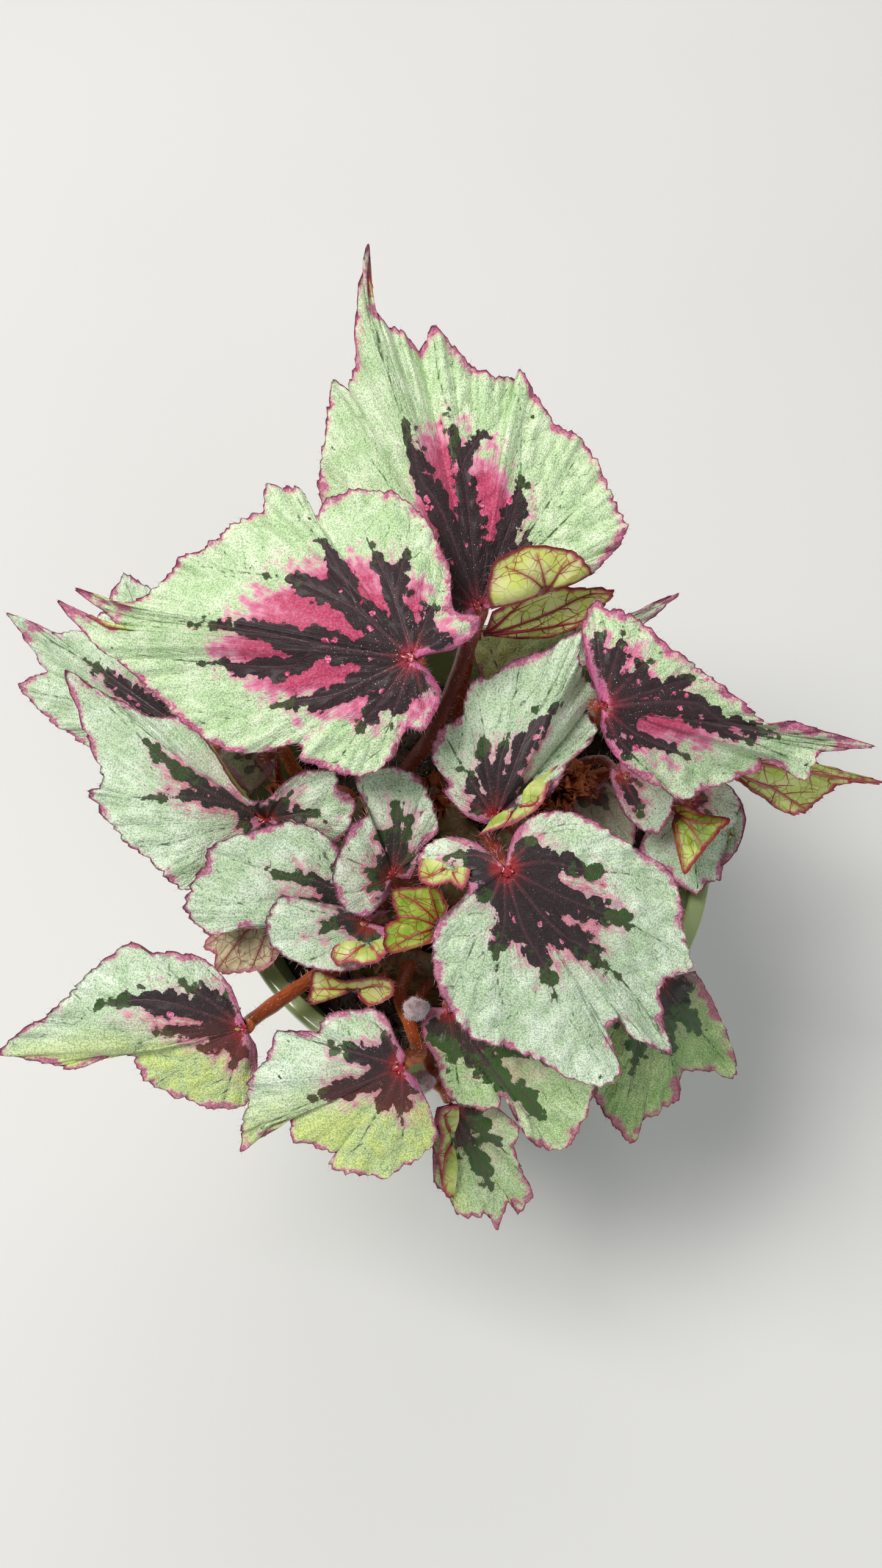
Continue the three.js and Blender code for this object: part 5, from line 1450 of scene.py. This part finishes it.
uppers = {name: upperMaterial("leafTop_" + name, look) for name, look in looks.items()}
unders = {name: underMaterial("leafUnderside_" + name, look) for name, look in underLooks.items()}
veinBeneath = veinMaterial()
leafHairs = twoToneMaterial(
    "leafHairs", [(236, 214, 214), (206, 120, 130)], 60, 2, (0.4, 0.6), None,
    Roughness=0.4, Transmission_Weight=0.3,
)
stalkRed = stalkMaterial("stalkRed", (118, 34, 28), (176, 78, 34))
stalkOrange = stalkMaterial("stalkOrange", (158, 72, 30), (206, 112, 36))
budFelt = twoToneMaterial(
    "budFelt", [(150, 140, 142), (112, 74, 78)], 300, 4, (0.35, 0.65), (1200, 4, 0.7, 0.0008),
    Roughness=0.8, Sheen_Weight=0.6,
)
scalePaper, rustPaper = [
    twoToneMaterial(name, tones, 400, 4, (0.35, 0.65), (1100, 3, 0.4, 0.0005), Roughness=0.7)
    for name, tones in (
        ("scalePaper", [(150, 112, 70), (104, 70, 44)]), ("rustPaper", [(186, 104, 52), (128, 44, 24)]),
    )
]
paleGrain = twoToneMaterial(
    "paleGrain", [(178, 166, 142), (120, 106, 84)], 500, 4, (0.4, 0.7), (1600, 4, 0.6, 0.0006),
    Roughness=0.85,
)
potPlastic = potMaterial()
peat = peatMaterial()
rhizomeSkin = rhizomeMaterial()
print("materials made")


# Where each piece's chance starts. Leaves, stalks and buds count up from theirs, and a leaf's
# rolled edge and flap add to the leaf's own.
seeds = {
    "leaf": 40, "stalk": 240, "bud": 520, "rolledEdge": 200, "flap": 100, "rhizome": 31,
    "stipules": 63, "soil": 77,
}


# Places a finished piece on the frame in place of its CAD node.
def stand(piece, node):
    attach(piece, "root")
    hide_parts(node)


stalkLook = {
    "sides": 14,
    "step": 1.2,            # mm between rings
    "flare": 0.08,          # how much wider the stalk gets at the blade
    "flareLength": 2.2,
    "footFlare": 0.35,
    "footLength": 9,
    "hairsPerStep": 2 * 1.2 / 0.55,
    "hairLength": (0.9, 2.6),
    "hairRadius": 0.045,
    "neck": 4,
    "top": 1.1,
}
rootLevel = 122
rootSink, rootRise = 7, 3
orangeStalks = ["far_left", "lower_left", "lower_front", "hanging", "far_right", "front_small"]
rolledLeaves = ["far_right", "front_small"]


# The start of a stalk, from inside the rhizome up.
def rootRoute(x, y):
    return [[x, y, rootLevel - rootSink], [x, y, rootLevel + rootRise]]


def makeStalk(name, leaf, seed):
    chance = np.random.default_rng(seed)
    junction, outs, facing = spread(leaf)
    away = unit(-outs.mean(0)) if "stalkFromEdge" in leaf else -facing
    route = rootRoute(*leaf["root"]) + placed(leaf["stalk"])[::-1].tolist()
    route += [junction + away * (stalkLook["top"] + stalkLook["neck"]), junction + away * stalkLook["top"]]
    curve = curveThrough(route, stalkLook["step"])
    top, foot = leaf["stalkRadius"]
    run = np.linspace(0, 1, len(curve))
    length = len(curve) * stalkLook["step"]
    radii = foot + (top - foot) * run
    radii = radii * (1 + 0.05 * np.sin(run * 23 + seed) + 0.04 * np.sin(run * 51 + 2 * seed))
    radii = radii * (1 + stalkLook["flare"] * np.exp(-((1 - run) * length / stalkLook["flareLength"]) ** 2))
    radii = radii * (1 + stalkLook["footFlare"] * np.exp(-(run * length / stalkLook["footLength"]) ** 2))
    ribs = 1 + 0.035 * np.cos(fullTurn(stalkLook["sides"]) * 5 + seed)
    skin = Skin()
    points, ways = addTube(skin, curve, radii[:, None] * ribs[None], stalkLook["sides"], 0)
    count = int(len(curve) * stalkLook["hairsPerStep"])
    ring = chance.integers(2, len(curve) - 1, count)
    side = chance.integers(0, stalkLook["sides"], count)
    out = ways[ring, side]
    lean = chance.normal(0, 0.35, (count, 3))
    lengths = chance.uniform(*stalkLook["hairLength"], count)
    addHairs(skin, points[ring, side] - out * 0.1, out + lean, lengths, stalkLook["hairRadius"], 1)
    orange = name in orangeStalks
    piece = skin.build("stalk_" + name + "_dressed", [stalkOrange if orange else stalkRed, leafHairs])
    stand(piece, "stalk_" + name)


# A rolled edge as a leaf of its own, its heights taken from the leaf that it rolls over.
def rolledEdge(sheet, shape):
    pixels = seen(sheet["grid"])
    heights = sheet["grid"][..., 2].ravel()

    def lifted(point):
        nearby = ((pixels - np.array(point[:2])) ** 2).sum(-1).argmin()
        return [point[0], point[1], heights[nearby] + point[2]]

    junction = lifted(shape["junction"])
    margin = [lifted(point) for point in shape["margin"]]
    first, last = (np.subtract(end, junction)[:2] for end in (margin[0], margin[-1]))
    if np.cross(first, last) > 0:
        margin = margin[::-1]
    return {**shape, "junction": junction, "margin": margin, "fold": True}


def makeLeaf(name, leaf, seed):
    sheet = makeSheet(leaf, seed)
    skin = Skin()
    addSheet(skin, sheet, name in rolledLeaves, seed)
    if name in rolledEdges:
        edgeSeed = seed + seeds["rolledEdge"]
        addSheet(skin, makeSheet(rolledEdge(sheet, rolledEdges[name]), edgeSeed), True, edgeSeed)
    if "flap" in leaf:
        flapSeed = seed + seeds["flap"]
        addSheet(skin, makeSheet(leaf["flap"], flapSeed), True, flapSeed)
    look = leaf["look"]
    upper = uppers.get(look, uppers["thin"])
    under = unders[leaf.get("under", look if look in unders else "under")]
    piece = skin.build("leaf_" + name, [upper, under, veinBeneath, leafHairs])
    stand(piece, "blade_" + name)
    return len(skin.faces)


total = 0
for order, (name, leaf) in enumerate(leaves.items()):
    total += makeLeaf(name, leaf, seeds["leaf"] + order)
    makeStalk(name, leaf, seeds["stalk"] + order)
print("leaves and stalks made, faces:", total)


buds = {
    "bud_front": {"tip": (682, 1652, 160), "by": [(688, 1632, 142)], "root": (-11, -45), "size": 4.4},
    "bud_low": {
        "tip": (692, 1772, 146), "by": [(735, 1745, 141), (730, 1715, 134)], "root": (8, -52), "size": 4.4,
    },
    "bud_centre": {"tip": (712, 1302, 150), "by": [(712, 1315, 138)], "root": (-11, 5), "size": 3.4},
}
# Widths are shares of a bud's size, lengths are in mm.
budLook = {
    "rings": 28, "sides": 36, "width": 0.6984, "height": 1.25, "stemWidth": 0.32, "stemSides": 12,
    "hairs": 700, "hairLength": (0.4, 1.0), "stemHairs": 60, "stemHairLength": (0.8, 1.8),
}


# A young leaf, still furled round itself and thick with hairs, on a short stem.
def makeBud(name, shape, seed):
    chance = np.random.default_rng(seed)
    skin = Skin()
    tip, size = placed(shape["tip"])[0], shape["size"]
    curve = curveThrough(rootRoute(*shape["root"]) + placed(shape["by"])[::-1].tolist() + [tip], 1.0)
    addTube(skin, curve, np.full(len(curve), size * budLook["stemWidth"]), budLook["stemSides"], 0)
    rings, sides, hairs, stemHairs = (budLook[part] for part in ("rings", "sides", "hairs", "stemHairs"))
    around, up = np.meshgrid(fullTurn(sides), np.linspace(-1, 1, rings))
    fold = 1 + 0.13 * np.cos(around * 2 + up * 2.4) + 0.07 * np.cos(around * 5 - up * 3 + seed)
    radius = size * budLook["width"] * np.sqrt(np.clip(1 - up**2, 0, 1)) * (1 - 0.18 * up) * fold
    high = up * size * budLook["height"]
    points = np.stack([np.cos(around) * radius, np.sin(around) * radius, high], -1) + tip
    skin.add(points, gridFaces(rings, sides, closed=True), 1)
    ring = chance.integers(1, rings - 1, hairs)
    side = chance.integers(0, sides, hairs)
    ways = unit(points[ring, side] - tip) + chance.normal(0, 0.3, (hairs, 3)) + np.array([0, 0, 0.4])
    addHairs(skin, points[ring, side], ways, chance.uniform(*budLook["hairLength"], hairs), 0.04, 2)
    ring = chance.integers(4, len(curve) - 3, stemHairs)
    ways = unit(chance.normal(0, 1, (stemHairs, 3)))
    lengths = chance.uniform(*budLook["stemHairLength"], stemHairs)
    addHairs(skin, curve[ring] + ways * size * 0.3, ways, lengths, 0.05, 2)
    stand(skin.build(name + "_dressed", [stalkRed, budFelt, leafHairs]), name)


for order, (name, shape) in enumerate(buds.items()):
    makeBud(name, shape, seeds["bud"] + order)
print("buds made")


rhizomeLook = {
    "level": 113, "radius": 9, "sides": 28,
    "branches": [
        [(-48, 1), (-26, -7), (-2, -11), (20, -5), (44, 3)],
        [(-42, -24), (-22, -38), (4, -42), (29, -27)],
        [(-23, -9), (-22, -37)],
        [(-22, -8), (-40, 18)],
        [(4, -10), (-9, 18)],
        [(8, -9), (30, 18)],
    ],
}


# The creeping stem: knobbly limbs with papery scales.
def makeRhizome():
    chance = np.random.default_rng(seeds["rhizome"])
    skin = Skin()
    sides = rhizomeLook["sides"]
    for index, branch in enumerate(rhizomeLook["branches"]):
        route = [(x, y, rhizomeLook["level"] + 0.8 * (i % 2)) for i, (x, y) in enumerate(branch)]
        curve = curveThrough(route, 1.1)
        run = np.linspace(0, 1, len(curve))
        knobs = 0.045 * np.sin(run * len(curve) * 1.1 / 3.4 + index)[:, None]
        knobs = knobs * (1 + 0.4 * np.cos(fullTurn(sides) * 2 + index))
        grain = chance.normal(0, 0.012, (len(curve), sides))
        ends = np.sqrt(np.clip(1 - (np.abs(run * 2 - 1) ** 14), 0.02, 1))
        radii = (rhizomeLook["radius"] - run)[:, None] * (0.97 + knobs + grain) * ends[:, None]
        points, ways = addTube(skin, curve, radii, sides, 0)
        for _ in range(len(curve) // 3):
            ring, side = chance.integers(2, len(curve) - 2), chance.integers(0, sides)
            way, spot = ways[ring, side], points[ring, side]
            if way[2] < 0.1:
                continue
            across = unit(np.cross(way, unit(chance.normal(0, 1, 3))))
            up = unit(way + unit(np.cross(across, way)) * 0.9)
            width, length = chance.uniform(1.0, 2.0), chance.uniform(2.5, 4.5)
            shoulder = spot + up * length * 0.6
            flake = [spot - across * width, shoulder - across * width * 0.5, spot + up * length,
                     shoulder + across * width * 0.5, spot + across * width]
            skin.add(flake + [p - way * 0.15 for p in flake], [[0, 1, 2, 3, 4], [9, 8, 7, 6, 5]], 1)
    stand(skin.build("rhizome_dressed", [rhizomeSkin, scalePaper]), "rhizome")


makeRhizome()
print("rhizome made")


# Dried, crinkled scales between the stalks, where the photo shows a rust-brown cluster: each is
# a column, row and height, a size in mm and the way it leans.
stipules = [
    ((928, 1262, 158), 6.5, (0.3, 0.2, 1)), ((938, 1280, 155), 6.0, (0.6, -0.1, 1)),
    ((920, 1298, 152), 6.5, (-0.2, -0.3, 1)), ((902, 1315, 148), 6.0, (0.1, -0.5, 1)),
    ((944, 1300, 150), 5.0, (0.5, 0.3, 1)), ((716, 1312, 150), 5.5, (-0.3, 0.2, 1)),
    ((706, 1294, 152), 5.0, (-0.5, 0.4, 1)), ((470, 1300, 148), 6.0, (-0.3, 0.5, 1)),
]


def makeStipules():
    chance = np.random.default_rng(seeds["stipules"])
    skin = Skin()
    rows, columns = 16, 22
    u, v = np.meshgrid(np.linspace(0, 1, rows), np.linspace(-1, 1, columns), indexing="ij")
    for place, size, lean in stipules:
        for _ in range(4):
            axis = unit(np.array(lean, float) + chance.normal(0, 0.45, 3))
            side = unit(np.cross(axis, chance.normal(0, 1, 3)))
            phase = chance.uniform(0, 6)
            width = size * 0.55 * (0.35 + 1.4 * u * (1.15 - u))
            wave = 0.22 * size * u * np.sin(v * 8 + phase) + 0.09 * size * np.sin(v * 19 + u * 7 + phase)
            curl = 0.5 * size * (1 - np.cos(v * 1.5)) + 0.45 * size * u**2
            points = placed(place)[0] + axis * ((u - 0.5) * size * 1.5)[..., None]
            points = points + side * (v * width)[..., None] + np.cross(side, axis) * (wave - curl)[..., None]
            skin.add(points, gridFaces(rows, columns), 0)
            rim = points[-1, ::2]
            ways = axis + chance.normal(0, 0.4, rim.shape)
            addHairs(skin, rim, ways, chance.uniform(0.5, 1.4, len(rim)), 0.06, 0)
    piece = skin.build("driedStipules", [rustPaper])
    piece.modifiers.new("thickness", "SOLIDIFY").thickness = 0.25 * mm
    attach(piece, "root")


makeStipules()
print("stipules made")


potLook = {
    "height": 135, "baseRadius": 51, "mouthRadius": 70.5, "wall": 1.9, "floor": 2.4,
    "lipRadius": 76, "lipDepth": 7, "holeRadius": 4.5, "holeCircle": 33, "holes": 6, "segments": 180,
}
lipLow = potLook["height"] - potLook["lipDepth"]


def wallRadius(z):
    outer = potLook["mouthRadius"] + potLook["wall"]
    return potLook["baseRadius"] + (outer - potLook["baseRadius"]) * z / lipLow


# Points of a rounded corner from one place towards another and on to a third.
def roundCorner(before, corner, after, radius):
    before, corner, after = (np.array(p, float) for p in (before, corner, after))
    first = corner + unit(before - corner) * radius
    last = corner + unit(after - corner) * radius
    t = np.linspace(0, 1, 5)[:, None]
    return ((1 - t) ** 2 * first + 2 * t * (1 - t) * corner + t**2 * last).tolist()


# The profile of the pot as radius and height, its corners rounded.
def potProfile():
    foot, floor, height = wallRadius(0), potLook["floor"], potLook["height"]
    corners = [
        (0, 0, 0), (foot - 6, 0, 0.8), (foot - 4.6, 1.0, 0.6), (foot - 2.6, 1.0, 0.6), (foot - 1.2, 0, 0.5),
        (foot, 0, 1.2), (wallRadius(lipLow - 26), lipLow - 26, 0.8),
        (wallRadius(lipLow - 25) + 0.35, lipLow - 25, 0.5), (wallRadius(lipLow), lipLow, 1.0),
        (potLook["lipRadius"], lipLow, 1.2), (potLook["lipRadius"], height, 2.0),
        (potLook["mouthRadius"], height, 2.0), (wallRadius(lipLow) - potLook["wall"], lipLow - 1, 1.5),
        (wallRadius(floor) - potLook["wall"], floor, 1.5), (0, floor, 0),
    ]
    profile = []
    for before, corner, after in zip(corners, corners[1:], corners[2:]):
        profile += roundCorner(before[:2], corner[:2], after[:2], corner[2])
    return profile


# The nursery pot, turned from its profile, with its drain holes cut out of the floor.
def makePot():
    skin = Skin()
    segments, profile = potLook["segments"], potProfile()
    points = [[r * math.cos(a), r * math.sin(a), z] for r, z in profile for a in fullTurn(segments)]
    skin.add(points, gridFaces(len(profile), segments, closed=True), 0)
    end = skin.count - segments
    under = skin.add([[0, 0, 0], [0, 0, potLook["floor"]]], np.empty((0, 3), int), 0)
    for side in range(segments):
        nextSide = (side + 1) % segments
        skin.close([[under, nextSide, side], [under + 1, end + side, end + nextSide]], 0)
    pot = skin.build("pot_dressed", [potPlastic])
    cutters = []
    for turn in fullTurn(potLook["holes"]):
        drill = Skin()
        spoke = np.array([math.cos(turn), math.sin(turn), 0]) * potLook["holeCircle"]
        curve = np.array([spoke + [0, 0, z] for z in (-3, 0, 3, 6)])
        addTube(drill, curve, np.full(4, potLook["holeRadius"]), 40, 0)
        cutters.append(drill.build("drainDrill", [potPlastic], smooth=False))
        cut = pot.modifiers.new("drainHole", "BOOLEAN")
        cut.operation = "DIFFERENCE"
        cut.solver = "EXACT"
        cut.object = cutters[-1]
    pot.data = bpy.data.meshes.new_from_object(pot.evaluated_get(bpy.context.evaluated_depsgraph_get()))
    pot.modifiers.clear()
    for cutter in cutters:
        bpy.data.objects.remove(cutter)
    pot.modifiers.new("softEdges", "WEIGHTED_NORMAL").keep_sharp = True
    stand(pot, "pot")


makePot()
print("pot made")


soilLook = {
    "top": 110, "edgeDrop": 3, "relief": 2.2, "gap": 0.3, "rings": 90, "spokes": 260, "dipStart": 0.86,
    "crumbs": 2600, "leastCrumb": 0.35, "crumbRange": 1.5, "barkEvery": 9, "bark": (2.2, 0.8, 0.35),
    "paleEvery": 31,
}
soilEdge = soilLook["top"] - soilLook["edgeDrop"]
soilReach = wallRadius(soilEdge) - potLook["wall"] - soilLook["gap"]


# The height of the peat at a place, lower at the wall.
def soilHeight(x, y, chance):
    broad = np.sin(x * 0.19 + 1.3) * np.cos(y * 0.23)
    lump = soilLook["top"] + soilLook["relief"] * (broad + np.sin(x * 0.41 - y * 0.37) / 2)
    lump = lump + 0.5 * np.sin(x * 1.1 + y * 0.7) * np.sin(y * 1.3 - x * 0.3)
    lump = lump + chance.normal(0, 0.16, np.shape(x))
    share = (np.hypot(x, y) / soilReach - soilLook["dipStart"]) / (1 - soilLook["dipStart"])
    dip = np.clip(share, 0, 1) ** 2
    return lump * (1 - dip) + soilEdge * dip


# The peat: a rough top that dips at the wall, strewn with crumbs, bark and a few pale grains.
def makeSoil():
    chance = np.random.default_rng(seeds["soil"])
    skin = Skin()
    rings, spokes = soilLook["rings"], soilLook["spokes"]
    turn = fullTurn(spokes)
    r, a = np.meshgrid(soilReach * np.linspace(0, 1, rings + 1)[1:] ** 0.8, turn, indexing="ij")
    x, y = r * np.cos(a), r * np.sin(a)
    z = soilHeight(x, y, chance)
    skin.add(np.stack([x, y, z], -1), gridFaces(rings, spokes, closed=True)[:, [0, 3, 2, 1]], 0)
    rim = skin.count - spokes
    bottom = potLook["floor"] + 0.3
    low = wallRadius(bottom) - potLook["wall"] - 0.7
    ends = [[low * math.cos(t), low * math.sin(t), bottom] for t in turn]
    first = skin.add(ends + [[0, 0, bottom], [0, 0, z[0].mean()]], np.empty((0, 3), int), 0)
    for spoke in range(spokes):
        after = (spoke + 1) % spokes
        skin.close([
            [rim + spoke, first + spoke, first + after, rim + after],
            [first + spokes, first + after, first + spoke], [first + spokes + 1, spoke, after],
        ], 0)
    ball = bmesh.new()
    bmesh.ops.create_icosphere(ball, subdivisions=1, radius=1)
    ballPoints = np.array([v.co for v in ball.verts])
    ballFaces = [[v.index for v in f.verts] for f in ball.faces]
    ball.free()
    for k in range(soilLook["crumbs"]):
        distance = (soilReach - 2.5) * math.sqrt(chance.uniform())
        angle = chance.uniform(0, 2 * math.pi)
        x, y = distance * math.cos(angle), distance * math.sin(angle)
        size = soilLook["leastCrumb"] + soilLook["crumbRange"] * chance.uniform() ** 3
        stretch = chance.uniform(0.6, 1.5, 3) * (soilLook["bark"] if k % soilLook["barkEvery"] == 0 else 1)
        lumps = ballPoints * (1 + chance.normal(0, 0.16, (len(ballPoints), 1))) * size * stretch
        turnBy = chance.uniform(0, math.pi)
        cos, sin = math.cos(turnBy), math.sin(turnBy)
        spin = np.array([[cos, -sin, 0], [sin, cos, 0], [0, 0, 1]])
        high = soilHeight(x, y, chance)
        pale = k % soilLook["paleEvery"] == 0
        skin.add(lumps @ spin.T + [x, y, high + size * 0.25], ballFaces, 1 if pale else 0)
    stand(skin.build("soil_dressed", [peat, paleGrain]), "soil")


makeSoil()
print("soil made")


def addToScene(name, data):
    piece = bpy.data.objects.new(name, data)
    bpy.context.scene.collection.objects.link(piece)
    return piece


sensor = 36
cameraData = bpy.data.cameras.new("camera")
cameraData.sensor_width = sensor
cameraData.lens = view["focal"] * sensor / view["rows"]
cameraData.clip_start = 0.01
camera = addToScene("camera", cameraData)
camera.location = eye * mm
camera.rotation_euler = (math.radians(90 - view["downDegrees"]), 0, 0)
bpy.context.scene.camera = camera

# Soft lamps at places in metres, all aimed at the middle of the plant.
lamps = {
    "keyLight": {"at": (-1.0, 0.2, 1.9), "size": 0.9, "power": 50, "colour": (1.0, 0.985, 0.96)},
    "fillLight": {"at": (0.9, -1.6, 0.9), "size": 1.6, "power": 15, "colour": (0.93, 0.96, 1.0)},
    "backLight": {"at": (0.4, 1.7, 1.2), "size": 1.2, "power": 11, "colour": (1.0, 0.99, 0.95)},
}
aimedAt = (0, 0, 0.16)
for name, lamp in lamps.items():
    data = bpy.data.lights.new(name, "AREA")
    data.size = lamp["size"]
    data.energy = lamp["power"]
    data.color = lamp["colour"]
    light = addToScene(name, data)
    light.location = lamp["at"]
    x, y, z = np.subtract(aimedAt, lamp["at"])
    light.rotation_euler = (math.atan2(math.hypot(x, y), -z), 0, math.atan2(y, x) - math.pi / 2)

world = bpy.data.worlds.new("studio")
world.use_nodes = True
skyLight = world.node_tree.nodes["Background"].inputs
skyLight["Color"].default_value = (0.8, 0.84, 0.88, 1)
skyLight["Strength"].default_value = 0.36
bpy.context.scene.world = world
bpy.context.scene.view_settings.view_transform = "Standard"

floorReach = 3000
floorSkin = Skin()
corners = [(-1, -1, 0), (1, -1, 0), (1, 1, 0), (-1, 1, 0)]
floorSkin.add(np.array(corners) * floorReach, [[0, 1, 2, 3]], 0)
floor = floorSkin.build("floor", [floorMaterial()])
print("camera, lights and floor set")
